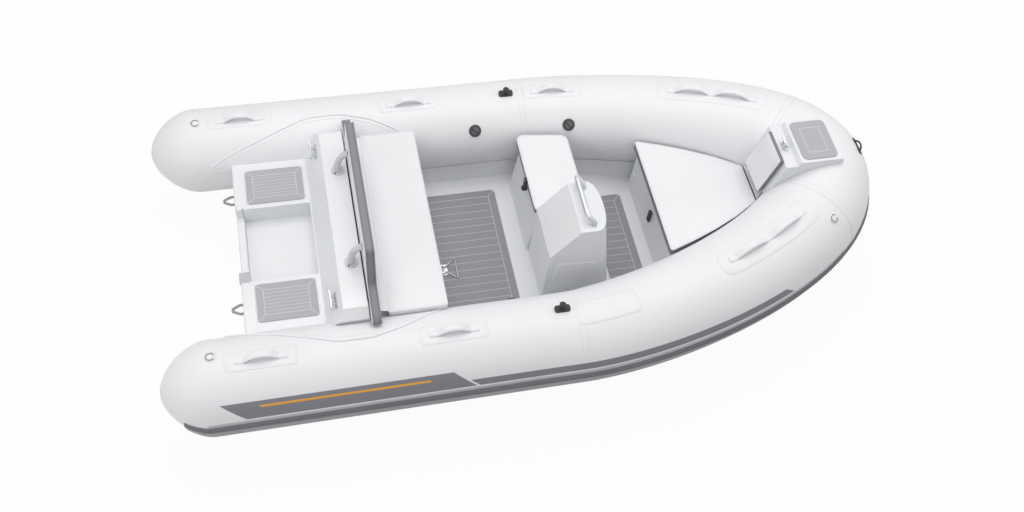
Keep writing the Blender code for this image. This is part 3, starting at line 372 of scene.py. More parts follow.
class Finish:
    """One material: its Principled shader and a start for expressions."""

    def __init__(self, name, rough, metal=0.0, coat=0.0):
        self.material = bpy.data.materials.new(name)
        self.material.use_nodes = True
        tree = self.material.node_tree
        self.shader = tree.nodes["Principled BSDF"]
        self.shader.inputs["Roughness"].default_value = rough
        self.shader.inputs["Metallic"].default_value = metal
        self.shader.inputs["Coat Weight"].default_value = coat
        self.start = Wire(tree)
        self.place = self.start.node("TexCoord", out=3)

    def set(self, socket, value):
        if isinstance(value, Wire):
            value.tree.links.new(value.socket, self.shader.inputs[socket])
        else:
            self.shader.inputs[socket].default_value = value

    def noise(self, scale, detail=3.0, stretch=(1, 1, 1)):
        spot = self.start.node("Mapping", links={"Vector": self.place, "Scale": stretch})
        return self.start.node("TexNoise", links={"Vector": spot, "Scale": scale, "Detail": detail})

    def cells(self, scale):
        settings = {"feature": "DISTANCE_TO_EDGE"}
        return self.start.node("TexVoronoi", settings, {"Vector": self.place, "Scale": scale})

    def bump(self, height, strength, distance):
        links = {"Height": height, "Strength": strength, "Distance": distance}
        self.set("Normal", self.start.node("Bump", links=links))

    def axis(self, index):
        return self.start.node("SeparateXYZ", links={"Vector": self.place}, out=index)

    def value(self, name):
        return self.start.node("Attribute", {"attribute_name": name}, out=2)


def looks():
    return bpy.context.scene.tender_colours


def sizes():
    return bpy.context.scene.tender_sizes


def varied(made, colour, amount, scale=3.0):
    """The colour with a faint cloudy change."""
    cloud = made.noise(scale)
    darker = tuple(c * (1 - amount) for c in colour)
    return mixed(solid(darker), solid(colour), cloud.above(0.5, 0.35))


def fabric_finish(name, striped):
    """Matte coated fabric: a fine weave under the coat and, on the tubes' outer side, plain bands."""
    c = looks()
    made = Finish(name, 0.5, coat=0.05)
    base = varied(made, c.fabric, 0.025)
    weave = made.noise(900.0, 1.0)
    made.bump(weave, 0.12, 0.0006)
    made.set("Roughness", 0.47 + made.noise(40.0) * 0.12)
    if striped:
        along = made.value("along")
        angle = made.value("angle")
        slant = along - (angle - SLANT_FROM) * SLANT
        for colour, span, run, slanted in BANDS:
            place = slant if slanted else along
            area = angle.between(*span, 0.25) * place.between(*run, 0.002)
            base = mixed(base, solid(getattr(c, colour)), area)
    made.set("Base Color", base)
    return made.material


def gelcoat_finish():
    made = Finish("white_gelcoat", 0.3, coat=0.15)
    made.set("Base Color", varied(made, looks().gelcoat, 0.03, 2.0))
    made.set("Roughness", 0.27 + made.noise(25.0) * 0.14)
    made.bump(made.noise(140.0, 2.0), 0.08, 0.0008)
    return made.material


def vinyl_finish(name, colour):
    made = Finish(name, 0.5)
    grain = made.cells(420.0)
    made.set("Base Color", varied(made, colour, 0.03, 6.0))
    made.set("Roughness", 0.46 + made.noise(30.0) * 0.1)
    made.bump(grain.above(0.12, 0.1) + made.noise(14.0) * 0.6, 0.2, 0.0008)
    return made.material


def rubber_finish(name, colour, rough=0.6):
    made = Finish(name, rough)
    made.set("Base Color", varied(made, colour, 0.1, 8.0))
    made.set("Roughness", rough - 0.06 + made.noise(60.0) * 0.12)
    made.bump(made.noise(500.0, 2.0), 0.2, 0.0005)
    return made.material


def steel_finish():
    made = Finish("satin_steel", 0.38, metal=1.0)
    made.set("Base Color", varied(made, looks().steel, 0.08, 20.0))
    made.set("Roughness", 0.32 + made.noise(30.0, stretch=(1, 8, 1)) * 0.16)
    return made.material


def mat_finish(node, colour, border, planks):
    """Foam deck mat: brushed planks with pale lines between them and a mitred border."""
    c = looks()
    low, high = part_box(node)
    made = Finish(node + "_foam", 0.8)
    x = made.axis(0)
    y = made.axis(1)
    edge_x = (x - low.x).least(high.x - x)
    edge_y = (y - low.y).least(high.y - y)
    edge = edge_x.least(edge_y)
    line = 0.0011
    soft = 0.0005
    lines = edge.between(border - line, border + line, soft)
    if planks:
        pitch = (high.y - low.y - 2 * border) / planks
        mitre = (edge_x - edge_y).between(-line * 1.4, line * 1.4, soft) * (1 - edge.above(border, soft))
        run = (y - (low.y + border)) / pitch + PLANK_LEAD
        part = run.math("FRACT", run)
        joints = part.between(0.5 - line / pitch, 0.5 + line / pitch, soft / pitch) * edge.above(border, soft)
        lines = lines.most(mitre).most(joints * 0.75)
    grain = made.noise(60.0, 4.0, (0.25, 9.0, 1.0))
    base = mixed(solid(tuple(v * 0.86 for v in colour)), solid(colour), grain)
    made.set("Base Color", mixed(base, solid(c.caulk), lines))
    made.bump(grain * 0.3 - lines * 0.8, 0.35, 0.0012)
    return made.material


FINISHES = {}


def finish(name):
    """A finish by name, made when first asked for."""
    if name not in FINISHES:
        c = looks()
        makers = {
            "tube": lambda: fabric_finish("tube_fabric", True),
            "fabric": lambda: fabric_finish("patch_fabric", False),
            # edge and rim: the glue line with painted shade for the shadow line at a tape's or patch's step.
            "edge": lambda: rubber_finish("tape_edge", c.edge),
            "rim": lambda: rubber_finish("patch_edge", c.rim),
            "bracket": lambda: rubber_finish("painted_bracket", c.bracket, 0.35),
            "gelcoat": gelcoat_finish,
            "vinyl": lambda: vinyl_finish("white_vinyl", c.vinyl),
            "gusset": lambda: vinyl_finish("grey_gusset", c.gusset),
            "dark": lambda: rubber_finish("dark_rubber", c.dark),
            "middle": lambda: rubber_finish("middle_rubber", c.middle),
            "pale": lambda: rubber_finish("pale_rubber", c.pale),
            "black": lambda: rubber_finish("black_plastic", c.black, 0.42),
            "cap": lambda: rubber_finish("valve_ring", c.cap, 0.45),
            "dish": lambda: rubber_finish("valve_dish", c.dish, 0.5),
            # cast: the tow eyes' grey metal, also used as painted shade on the relief valves.
            "cast": lambda: rubber_finish("cast_grey_and_valve_shade", c.cast, 0.4),
            "steel": steel_finish,
        }
        FINISHES[name] = makers[name]()
    return FINISHES[name]


def add(name, bm, finishes, body=ROOT, sharp=35.0):
    """A new piece from a bmesh that rides on a body."""
    bmesh.ops.recalc_face_normals(bm, faces=bm.faces)
    mesh = bpy.data.meshes.new(name)
    bm.to_mesh(mesh)
    bm.free()
    for each in finishes:
        mesh.materials.append(finish(each))
    mesh.shade_smooth()
    mesh.set_sharp_from_angle(angle=math.radians(sharp))
    piece = bpy.data.objects.new(name, mesh)
    bpy.context.scene.collection.objects.link(piece)
    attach(piece, body)
    return piece


def coat(node, material):
    """The frame's own solid in one material."""
    mesh = NODES[node].data
    mesh.materials.clear()
    mesh.materials.append(material)


def skin(rings, capped=True, bm=None, index=0):
    """A skin through rings of equal count, with an end face at each end."""
    bm = bm or bmesh.new()
    rows = [[bm.verts.new(p) for p in ring] for ring in rings]
    count = len(rows[0])
    made = []
    for low, high in zip(rows, rows[1:]):
        for i in range(count):
            j = (i + 1) % count
            made.append(bm.faces.new((low[i], low[j], high[j], high[i])))
    if capped:
        made.append(bm.faces.new(rows[0][::-1]))
        made.append(bm.faces.new(rows[-1]))
    for face in made:
        face.material_index = index
    return bm


def sweep(points, radius, closed=False, bm=None, index=0):
    """A round bead along points."""
    rings = []
    count = len(points)
    last = None
    for i, p in enumerate(points):
        after = points[(i + 1) % count] if closed else points[min(i + 1, count - 1)]
        before = points[i - 1] if closed else points[max(i - 1, 0)]
        along = (after - before).normalized()
        last = along.orthogonal() if last is None else last
        last = (last - along * last.dot(along)).normalized()
        other = along.cross(last)
        turn = [2 * math.pi * k / BEAD_SIDES for k in range(BEAD_SIDES)]
        rings.append([p + radius * (math.cos(a) * last + math.sin(a) * other) for a in turn])
    if closed:
        rings.append(rings[0])
    return skin(rings, not closed, bm, index)


def lathe(profile, sides, bm=None, index=0, teeth=0.0):
    """A turned form from a profile, with a grip of teeth on request."""
    rings = []
    for radius, z in profile:
        ring = []
        for k in range(sides):
            a = 2 * math.pi * k / sides
            r = radius * (1 - teeth * (k % 2))
            ring.append(Vector((r * math.cos(a), r * math.sin(a), z)))
        rings.append(ring)
    return skin(rings, True, bm, index)


def bend_point(t):
    """A point of the bend from the straight tube to the bow."""
    u = math.sin(t) ** (2 / BEND_ALONG)
    y = SPREAD * max(math.cos(t), 0.0) ** (2 / BEND_ACROSS)
    return (BEND_X + (BOW_X - BEND_X) * u, y, AXIS_Z + BOW_RISE * u * u)


TABLE_P = np.array([bend_point(t) for t in np.linspace(0.0, math.pi / 2, 2401)])
TABLE_S = np.concatenate([[0.0], np.cumsum(np.linalg.norm(np.diff(TABLE_P, axis=0), axis=1))])
BOW_S = float(TABLE_S[-1])


def centre(s):
    """The tube's centre at a length along it, which is 0 where the bend starts."""
    if s <= 0:
        return Vector((BEND_X + s, SPREAD, AXIS_Z))
    return Vector([float(np.interp(s, TABLE_S, TABLE_P[:, k])) for k in range(3)])


def along_x(x):
    """The length along the tube at a place along the boat."""
    if x <= BEND_X:
        return x - BEND_X
    return float(np.interp(x, TABLE_P[:, 0], TABLE_S))


def tube_radius(s):
    """The tube's radius: it swells to the bow and closes in a blunt cone at the stern."""
    swell = 1 + BOW_SWELL * max(s / BOW_S, 0.0) ** SWELL_POWER
    cone_x = STERN_TIP + STERN_CONE
    x = BEND_X + s
    if x >= cone_x:
        return TUBE_R * swell
    q = min((cone_x - x) / STERN_CONE, 0.9995)
    return TUBE_R * (1 - q**CONE_FALL) ** (1 / CONE_ROUND)


def frame_at(s):
    """The tube's centre there, with the ways along it, inboard and up."""
    step = 0.004
    p = centre(s)
    if s >= BOW_S - step:
        way = Vector((0.0, -1.0, 0.0))
    else:
        way = (centre(s + step) - centre(s - step)).normalized()
    up = Vector((0, 0, 1))
    up = (up - way * up.dot(way)).normalized()
    return p, way, way.cross(up), up


def mirrored(p, side):
    return Vector((p.x, p.y * side, p.z))


def on_tube(s, angle, off=0.0, side=1):
    """A point off the tube's skin: the angle runs from the inboard side over the top."""
    s = float(s)
    p, _, inboard, up = frame_at(s)
    a = math.radians(float(angle))
    r = tube_radius(s) + off
    return mirrored(p + r * (math.cos(a) * inboard + math.sin(a) * up), side)


def seat(s, angle, side, off=0.0):
    """A placement on the tube: Z points out of the tube and X along it."""
    _, way, inboard, up = frame_at(s)
    a = math.radians(angle)
    out = mirrored(math.cos(a) * inboard + math.sin(a) * up, side).normalized()
    x = mirrored(way, side).normalized()
    turn = Matrix((x, out.cross(x), out)).transposed().to_4x4()
    return Matrix.Translation(on_tube(s, angle, off, side)) @ turn


def berth(x, z):
    """Half the clear width between the tubes at this place."""
    start = along_x(x)
    line = []
    for s in [start - 0.3] + [max(start, 0.0) + BOW_S * k / 60 for k in range(40)]:
        s = min(s, BOW_S)
        p, _, inboard, _ = frame_at(s)
        reach = math.sqrt(max(tube_radius(s) ** 2 - (z - p.z) ** 2, 0.0))
        flat = inboard.xy.normalized() * reach
        line.append((p.x + flat.x, p.y + flat.y))
    line.sort()
    return float(np.interp(x, [q[0] for q in line], [q[1] for q in line]))


def tube_skin(name, stations, node):
    """A tube through (length, side) stations, with its length and angle kept on each point."""
    sides = sizes().tube_sides
    angles = [-90.0 + 360.0 * k / sides for k in range(sides)]
    rings = [[on_tube(s, a, 0.0, side) for a in angles] for s, side in stations]
    piece = add(name, skin(rings), ["tube"])
    along = np.repeat([s for s, _ in stations], sides)
    angle = np.tile(angles, len(stations))
    for label, values in (("along", along), ("angle", angle)):
        kept = piece.data.attributes.new(label, "FLOAT", "POINT")
        kept.data.foreach_set("value", values.astype(np.float32))
    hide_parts(node)


def round_bow(half):
    """Stations from the port side round the bow to the starboard side."""
    return [(float(s), 1) for s in half] + [(float(s), -1) for s in half[-2::-1]]


def tape(name, s, side, span):
    """A tape over a seam, round the tube, with bevelled edges in the edge grey: the glue line and painted
    shade for the shadow line at its step.
    """
    z = sizes()
    half = z.tape_width / 2
    rise = z.tape_thick * TAPE_RISE
    rings = []
    for a in np.linspace(*span, TAPE_RINGS):
        ring = []
        for share, lift in ((-1.0, 0.0), (-TAPE_BEVEL, 1.0), (TAPE_BEVEL, 1.0), (1.0, 0.0)):
            ring.append(on_tube(s + half * share, a, TAPE_FOOT + rise * lift, side))
        ring += [on_tube(s + half * share, a, BED, side) for share in (0.5, -0.5)]
        rings.append(ring)
    bm = skin(rings)
    bm.faces.ensure_lookup_table()
    # The bevelled rims take the edge grey: glue line and painted shade where the tape steps up from the tube.
    for k in range(len(rings) - 1):
        for rim in (0, 2):
            bm.faces[k * len(rings[0]) + rim].material_index = 1
    add(name, bm, ["fabric", "edge"])


def sheet(name, rows, lift, side):
    """A fabric sheet on the tube: each row gives a length and the angles where it starts and ends."""
    rings = []
    for s, low, high in rows:
        angles = np.linspace(low, high, SHEET_POINTS)
        ring = [on_tube(s, low, BED, side)]
        ring += [on_tube(s, a, lift, side) for a in angles[1:-1]]
        ring.append(on_tube(s, high, BED, side))
        ring += [on_tube(s, a, SHEET_BACK, side) for a in angles[-2:0:-3]]
        rings.append(ring)
    add(name, skin(rings), ["fabric"])


def patch(name, s, angle, plan, side, rim="rim"):
    """A rounded fabric patch that lies on the tube: the plan gives its length, girth and corner radius. Its
    sloped rim takes the rim grey, the glue line and painted shade for the shadow line at its step.
    """
    lift = sizes().tape_thick
    r = tube_radius(s)
    length, girth, corner = plan
    a = length / 2 - corner
    b = girth / 2 - corner
    outline = []
    for k in range(PATCH_POINTS):
        t = 2 * math.pi * (k + 0.5) / PATCH_POINTS
        u = math.copysign(a, math.cos(t)) + corner * math.cos(t)
        v = math.copysign(b, math.sin(t)) + corner * math.sin(t)
        outline.append(Vector((u, v)))
    outline = split(outline, 0.02)
    inner = inset(outline, 0.002)
    rows = [(outline, 1.0, BED), (inner, 1.0, lift)]
    rows += [(inner, share, lift) for share in PATCH_SHARES]
    rings = []
    for line, share, up in rows:
        spots = [(s + p.x * share, angle + math.degrees(p.y * share / r)) for p in line]
        rings.append([on_tube(along, turn, up, side) for along, turn in spots])
    bm = skin(rings)
    bm.faces.ensure_lookup_table()
    # The sloped rim in the rim grey: glue line and painted shade at the patch's step.
    for face in bm.faces[: len(outline)]:
        face.material_index = 1
    add(name, bm, ["fabric", rim])


def moulded(node, width, body=ROOT, segments=3):
    """A copy of a frame node with rounded edges, which stands for it."""
    bm = bmesh.new()
    bm.from_mesh(NODES[node].data)
    bmesh.ops.remove_doubles(bm, verts=bm.verts, dist=MERGE)
    bmesh.ops.dissolve_limit(bm, angle_limit=math.radians(FLAT_ANGLE), verts=bm.verts, edges=bm.edges)
    bmesh.ops.triangulate(bm, faces=[face for face in bm.faces if len(face.verts) > 4])
    for face in bm.faces:
        face.material_index = 0
    piece = add(node + "_gelcoat", bm, ["gelcoat"], body, 30.0)
    bevel = piece.modifiers.new("edges", "BEVEL")
    bevel.width = width
    bevel.segments = segments
    bevel.limit_method = "ANGLE"
    bevel.angle_limit = math.radians(EDGE_ANGLE)
    bevel.use_clamp_overlap = True
    shade = piece.modifiers.new("shading", "WEIGHTED_NORMAL")
    shade.weight = 100
    shade.keep_sharp = False
    graph = bpy.context.evaluated_depsgraph_get()
    made = bpy.data.meshes.new_from_object(piece.evaluated_get(graph))
    piece.modifiers.clear()
    piece.data = made
    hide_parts(node)


def corners_of(low, high):
    """The corners of a rectangle."""
    return [(low[0], low[1]), (high[0], low[1]), (high[0], high[1]), (low[0], high[1])]


def both_sides(half):
    """An outline from its port half, which runs from aft to forward."""
    return [(x, -y) for x, y in half] + half[::-1]


def rounded(points, radius):
    """The outline with its corners rounded off."""
    made = []
    count = len(points)
    for i in range(count):
        before, corner, after = (Vector(points[(i + k) % count]).to_2d() for k in (-1, 0, 1))
        one = (before - corner).normalized()
        two = (after - corner).normalized()
        half = one.angle(two) / 2
        reach = min(radius / math.tan(half), 0.49 * (before - corner).length, 0.49 * (after - corner).length)
        start = corner + one * reach
        end = corner + two * reach
        for k in range(CORNER_STEPS + 1):
            t = k / CORNER_STEPS
            made.append(start.lerp(corner, t).lerp(corner.lerp(end, t), t))
    return made


def split(outline, longest):
    """The outline with its edges divided until none is longer than this."""
    made = []
    for i, p in enumerate(outline):
        a = Vector(p).to_2d()
        b = Vector(outline[(i + 1) % len(outline)]).to_2d()
        parts = max(1, math.ceil((b - a).length / longest))
        made += [a.lerp(b, k / parts) for k in range(parts)]
    return made


def inset(outline, width):
    """The outline moved inwards by a width."""
    made = []
    count = len(outline)
    for i in range(count):
        a, b, c = (Vector(outline[(i + k) % count]).to_2d() for k in (-1, 0, 1))
        one = (b - a).normalized()
        two = (c - b).normalized()
        side = Vector((-one.y - two.y, one.x + two.x)).normalized()
        made.append(b + side * width / max(0.4, side.dot(Vector((-one.y, one.x)))))
    return made


def level_ring(outline, z):
    return [Vector((p.x, p.y, z)) for p in outline]


def plate(name, outline, rim, place, finish_name="gelcoat"):
    """A thin plate with an eased rim: place turns an outline's point and how far out it lies into a spot."""
    rings = [[place(p, out) for p in inset(outline, into)] for into, out in rim]
    add(name, skin(rings), [finish_name])


def points_of(mesh):
    found = np.empty(len(mesh.vertices) * 3, np.float32)
    mesh.vertices.foreach_get("co", found)
    return found.reshape(-1, 3).astype(np.float64)


def blown(bm, voxel, low, high, room):
    """The pad's cover filled by cloth simulation: it is pinned along its two seams and its back."""
    scene = bpy.context.scene
    mesh = bpy.data.meshes.new("cover")
    bm.to_mesh(mesh)
    bm.free()
    cover = bpy.data.objects.new("cover", mesh)
    scene.collection.objects.link(cover)
    remesh = cover.modifiers.new("voxels", "REMESH")
    remesh.mode = "VOXEL"
    remesh.voxel_size = voxel
    graph = bpy.context.evaluated_depsgraph_get()
    cover.data = bpy.data.meshes.new_from_object(cover.evaluated_get(graph))
    cover.modifiers.clear()
    rest = points_of(cover.data)
    made = cover.data
    level = rest[:, 2]
    normals = np.array([v.normal.z for v in cover.data.vertices])
    face = (normals > 0.9) & (level > high - voxel)
    held = ~face & ((level > high - SEAM_REACH * voxel) | (level < low + SEAM_REACH * voxel))
    sewn = cover.vertex_groups.new(name="sewn")
    sewn.add([int(i) for i in np.flatnonzero(held)], 1.0, "REPLACE")
    cloth = cover.modifiers.new("filling", "CLOTH")
    cloth.settings.quality = 4
    cloth.settings.mass = COVER_MASS
    cloth.settings.use_pressure = True
    cloth.settings.uniform_pressure_force = FILL_PRESSURE
    cloth.settings.effector_weights.gravity = 0.0
    cloth.settings.vertex_group_mass = "sewn"
    cloth.collision_settings.use_collision = False
    for number in range(1, FILL_FRAMES + 1):
        scene.frame_set(number)
    graph = bpy.context.evaluated_depsgraph_get()
    made = bpy.data.meshes.new_from_object(cover.evaluated_get(graph))
    moved = points_of(made) - rest
    length = np.linalg.norm(moved, axis=1)
    moved *= np.minimum(1.0, room / np.maximum(length, 1e-9))[:, None]
    made.vertices.foreach_set("co", (rest + moved).astype(np.float32).ravel())
    cover.modifiers.clear()
    scene.frame_set(1)
    result = bmesh.new()
    result.from_mesh(made)
    bpy.data.objects.remove(cover, do_unlink=True)
    return result


def cushion(
    name, node, outline, low, height, body, place=None,
    dark=(0.0, 0.0), voxel=0.0085, welts=(0, 0), plain=1.1, tight=1.0
):
    """A sewn pad: a filled face, a gusset between two lines of piping, and a grey band on the gusset.

    dark gives the shares of the height where the band starts and ends, and welts the finish of each piping.
    The gusset stays white where it faces forward by more than the plain limit.
    """
    z = sizes()
    r = z.piping
    room = z.fill_room * tight
    high = low + height - room
    body_line = inset(outline, r * 0.5)
    form = [(into, low + up) for into, up in COVER_FOOT] + [(into, high - down) for into, down in COVER_TOP]
    cover = skin([level_ring(inset(body_line, into), level) for into, level in form])
    bm = blown(cover, voxel, low, high, room)
    first, last = (low + (high - low) * share for share in dark)
    for level in (first, last):
        cut = bm.verts[:] + bm.edges[:] + bm.faces[:]
        bmesh.ops.bisect_plane(bm, geom=cut, dist=0.0001, plane_co=(0, 0, level), plane_no=(0, 0, 1))
    bm.normal_update()
    for face in bm.faces:
        level = face.calc_center_median().z
        face.material_index = int(first < level < last and face.normal.x < plain)
        face.smooth = True
    for level, index in ((low + WELT_LOW, welts[0]), (high - WELT_TOP, welts[1])):
        sweep(level_ring(inset(outline, r), level), r, True, bm, index)
    if place is not None:
        bmesh.ops.transform(bm, matrix=place, verts=bm.verts)
    piece = add(name, bm, ["vinyl", "gusset"], body, 60.0)
    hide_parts(node)


class TENDER_OT_stage(bpy.types.Operator):
    """Camera, floor, world and lamps"""

    bl_idname = "tender.stage"
    bl_label = "Stage"

    def execute(self, context):
        scene = context.scene
        scene.view_settings.view_transform = "Standard"
        self.camera(scene)
        self.paper(scene)
        self.sky(scene)
        for name, (spot, size, power) in LAMPS.items():
            lamp = bpy.data.lights.new(name, "AREA")
            lamp.size = size
            lamp.energy = power
            obj = bpy.data.objects.new(name, lamp)
            obj.location = spot
            obj.rotation_euler = (-Vector(spot)).to_track_quat("-Z", "Y").to_euler()
            scene.collection.objects.link(obj)
        return {"FINISHED"}

    def camera(self, scene):
        turn, rise, roll = (math.radians(v) for v in CAMERA_ANGLES)
        back = Vector((math.sin(turn) * math.cos(rise), -math.cos(turn) * math.cos(rise), math.sin(rise)))
        right = (-back).cross(Vector((0, 0, 1))).normalized()
        up = right.cross(-back)
        side = math.cos(roll) * right + math.sin(roll) * up
        top = -math.sin(roll) * right + math.cos(roll) * up
        lens = bpy.data.cameras.new("camera")
        lens.sensor_width = SENSOR
        lens.lens = FOCAL_SHARE * SENSOR
        camera = bpy.data.objects.new("camera", lens)
        scene.collection.objects.link(camera)
        matrix = Matrix((side, top, back)).transposed().to_4x4()
        camera.matrix_world = Matrix.Translation(Vector(CAMERA_TARGET) + back * CAMERA_REACH) @ matrix
        scene.camera = camera

    def paper(self, scene):
        """White paper that shows white to the camera and keeps a faint shadow."""
        bm = bmesh.new()
        bmesh.ops.create_grid(bm, x_segments=1, y_segments=1, size=PAPER_HALF)
        mesh = bpy.data.meshes.new("floor")
        bm.to_mesh(mesh)
        bm.free()
        floor = bpy.data.objects.new("floor", mesh)
        floor.location.z = PAPER_Z
        scene.collection.objects.link(floor)
        made = Finish("paper", 0.9)
        made.set("Base Color", (0.8, 0.8, 0.8, 1.0))
        tree = made.material.node_tree
        start = made.start
        seen = start.node("LightPath", out=0)
        glow = start.node("Emission", links={"Color": (1, 1, 1, 1), "Strength": 1.0})
        plain = Wire(tree, made.shader.outputs[0])
        both = start.node("MixShader", links={0: seen * 0.95, 1: plain, 2: glow})
        tree.links.new(both.socket, tree.nodes["Material Output"].inputs["Surface"])
        mesh.materials.append(made.material)

    def sky(self, scene):
        """White to the camera and in reflections, and half as bright where it lights the boat."""
        world = bpy.data.worlds.new("studio")
        world.use_nodes = True
        tree = world.node_tree
        start = Wire(tree)
        camera = start.node("LightPath", out=0)
        glossy = start.node("LightPath", out=3)
        strength = 0.5 + camera.most(glossy) * 0.5
        back = tree.nodes["Background"]
        back.inputs["Color"].default_value = (1, 1, 1, 1)
        tree.links.new(strength.socket, back.inputs["Strength"])
        scene.world = world


class TENDER_OT_tubes(bpy.types.Operator):
    """Air tubes with their tapes and deck flaps"""

    bl_idname = "tender.tubes"
    bl_label = "Air tubes"

    def execute(self, context):
        cone_x = STERN_TIP + STERN_CONE
        seam = along_x(SEAM_X)
        cone = [along_x(cone_x - STERN_CONE * q) for q in CONE_SHARES]
        straight = list(np.linspace(along_x(cone_x), seam - CHAMBER_GAP, STRAIGHT_RINGS))
        for label, side in SIDES:
            tube_skin(f"{label}_air_tube", [(float(s), side) for s in cone + straight], f"{label}_tube")
        half = np.linspace(seam + CHAMBER_GAP, BOW_S, BOW_RINGS)
        tube_skin("bow_air_tube", round_bow(half), "bow_tube")
        for label, side in SIDES:
            tape(f"seam_tape_{label}", seam, side, SEAM_TAPE_SPAN)
            tape(f"bow_tape_{label}", BOW_S - BOW_TAPE_BACK, side, BOW_TAPE_SPAN)
            self.flap(label, side)
            rows = [(s, *JOINT_TAPE_SPAN) for s in np.linspace(*JOINT_TAPE_RUN, JOINT_TAPE_RINGS)]
            sheet(f"floor_joint_tape_{label}", rows, sizes().tape_thick, side)
        return {"FINISHED"}

    def flap(self, label, side):
        """The fabric flap that runs from the tube up to the stern deck, with welts along its edge."""
        lengths = [s for s, _ in FLAP_EDGE]
        spots = np.linspace(lengths[0], lengths[-1], FLAP_RINGS)
        tops = [float(np.interp(s, lengths, [a for _, a in FLAP_EDGE])) for s in spots]
        for _ in range(3):
            tops = [tops[0]] + [(a + b + c) / 3 for a, b, c in zip(tops, tops[1:], tops[2:])] + [tops[-1]]
        lift = sizes().flap_thick
        sheet(f"deck_flap_{label}", [(s, FLAP_FOOT, top) for s, top in zip(spots, tops)], lift, side)
        bm = None
        for into, thick in FLAP_WELTS:
            welt = [on_tube(s, top - into, lift, side) for s, top in zip(spots, tops)]
            bm = sweep(welt, thick, bm=bm)
        add(f"flap_welt_{label}", bm, ["fabric"])


class TENDER_OT_patches(bpy.types.Operator):
    """Patches under the handles and oarlocks, and the wear patch"""

    bl_idname = "tender.patches"
    bl_label = "Patches"

    def execute(self, context):
        bow = (along_x(BOW_HANDLE_RUN[0]) + along_x(BOW_HANDLE_RUN[1])) / 2
        for label, side in SIDES:
            patch(f"oarlock_patch_{label}", along_x(OARLOCK_X), TOP_ANGLE[label], OARLOCK_PATCH, side)
            for name, x in HANDLE_X.items():
                if f"handle_{name}_{label}" in NODES:
                    patch(f"{name}_handle_patch_{label}", along_x(x), HANDLE_PATCH_ANGLE, HANDLE_PATCH, side)
            patch(f"bow_handle_patch_{label}", bow, BOW_PATCH_ANGLE, BOW_PATCH, side)
        # The wear patch's rim takes the darker edge grey: its glue line and painted shade at its step.
        patch("wear_patch", along_x(WEAR_X), WEAR_ANGLE, WEAR_PATCH, -1, "edge")
        return {"FINISHED"}


class TENDER_OT_strake(bpy.types.Operator):
    """Ribbed rub strake round the tubes"""

    bl_idname = "tender.strake"
    bl_label = "Rub strake"

    def execute(self, context):
        aft = np.linspace(along_x(STRAKE_AFT_X), along_x(STERN_TIP + STERN_CONE), 8)
        stations = round_bow(list(aft) + list(np.linspace(along_x(SEAM_X), BOW_S, 52)))
        span = STRAKE_LOW - STRAKE_TOP
        shape = list(STRAKE_SHAPE) + [(1 - q, t) for q, t in STRAKE_SHAPE[-2::-1]]
        shape += [(q, STRAKE_BED) for q in STRAKE_BACK]
        rings = [[on_tube(s, STRAKE_TOP + span * q, t, side) for q, t in shape] for s, side in stations]
        bm = skin(rings)
        bm.faces.ensure_lookup_table()
        for k in range(len(rings) - 1):
            for i in STRAKE_CHANNEL:
                bm.faces[k * len(shape) + i].material_index = 1
        piece = add("rub_strake_ribs", bm, ["dark", "middle"], sharp=50.0)
        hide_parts("rub_strake")
        return {"FINISHED"}


class TENDER_OT_mouldings(bpy.types.Operator):
    """Hull, liner, decks and seat boxes with rounded edges, and their thin plates"""

    bl_idname = "tender.mouldings"
    bl_label = "Mouldings"

    def execute(self, context):
        z = sizes()
        for node in ("hull_shell", "deck_liner"):
            moulded(node, z.hull_edge)
        for node in ("stern_deck", "console_pod", "transom"):
            moulded(node, z.mould_edge)
        moulded("bow_step", z.step_edge, segments=5)
        for node in ("rear_seat_box", "console_seat_box", "bow_locker"):
            moulded(node, z.box_edge / 2)
        lids = {"rear_seat_lid": "rear_lid", "console_seat_lid": "console_lid", "bow_locker_lid": "bow_lid"}
        for node, body in lids.items():
            moulded(node, z.box_edge, body)
        self.pod_panel()
        self.transom_caps()
        self.locker_plate()
        self.seat_ledges()
        return {"FINISHED"}

    def seat_ledges(self):
        """Narrow ledges that close the gap between the rear seat box and the tubes, behind the lid."""
        low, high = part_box("rear_seat_box")
        near = (low.x + LEDGE_GAP, high.y + LEDGE_GAP)
        outer = berth(low.x, high.z) - sizes().flap_thick - LEDGE_CLEAR
        far = (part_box("rear_seat_lid")[0].x - LEDGE_CLEAR, outer)
        for label, side in SIDES:
            outline = [Vector((x, y * side)) for x, y in corners_of(near, far)][::side]
            plate(f"seat_ledge_{label}", outline, LEDGE_RIM, lambda p, up: Vector((p.x, p.y, high.z + up)))

    def transom_caps(self):
        """Thin moulded caps over the joint of transom and platforms."""
        low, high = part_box("transom")
        near = (low.x + CAP_AFT, CAP_INNER)
        far = (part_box("platform_mat_port")[0].x - CAP_MARGIN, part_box("stern_deck")[1].y - CAP_MARGIN)
        for label, side in SIDES:
            outline = [Vector((p.x, p.y * side)) for p in rounded(corners_of(near, far), CAP_CORNER)][::side]
            plate(f"transom_cap_{label}", outline, CAP_RIM, lambda p, up: Vector((p.x, p.y, high.z + up)))

    def locker_plate(self):
        """A small cover plate on the bow locker's aft face."""
        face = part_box("bow_locker")[0].x
        outline = rounded(corners_of(*LOCKER_PLATE), LOCKER_PLATE_CORNER)

        def place(p, out):
            return Vector((face - out, p.x, p.y))

        plate("locker_cover_plate", outline, LOCKER_PLATE_RIM, place, "vinyl")

    def pod_panel(self):
        """The shallow raised panel low on the pod's starboard face."""
        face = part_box("console_pod")[0].y
        outline = split(rounded([(x + SHIFT, z) for x, z in POD_PANEL], POD_PANEL_CORNER), 0.04)
        plate("pod_side_panel", outline, POD_PANEL_RIM, lambda p, out: Vector((p.x, face - out, p.y)))


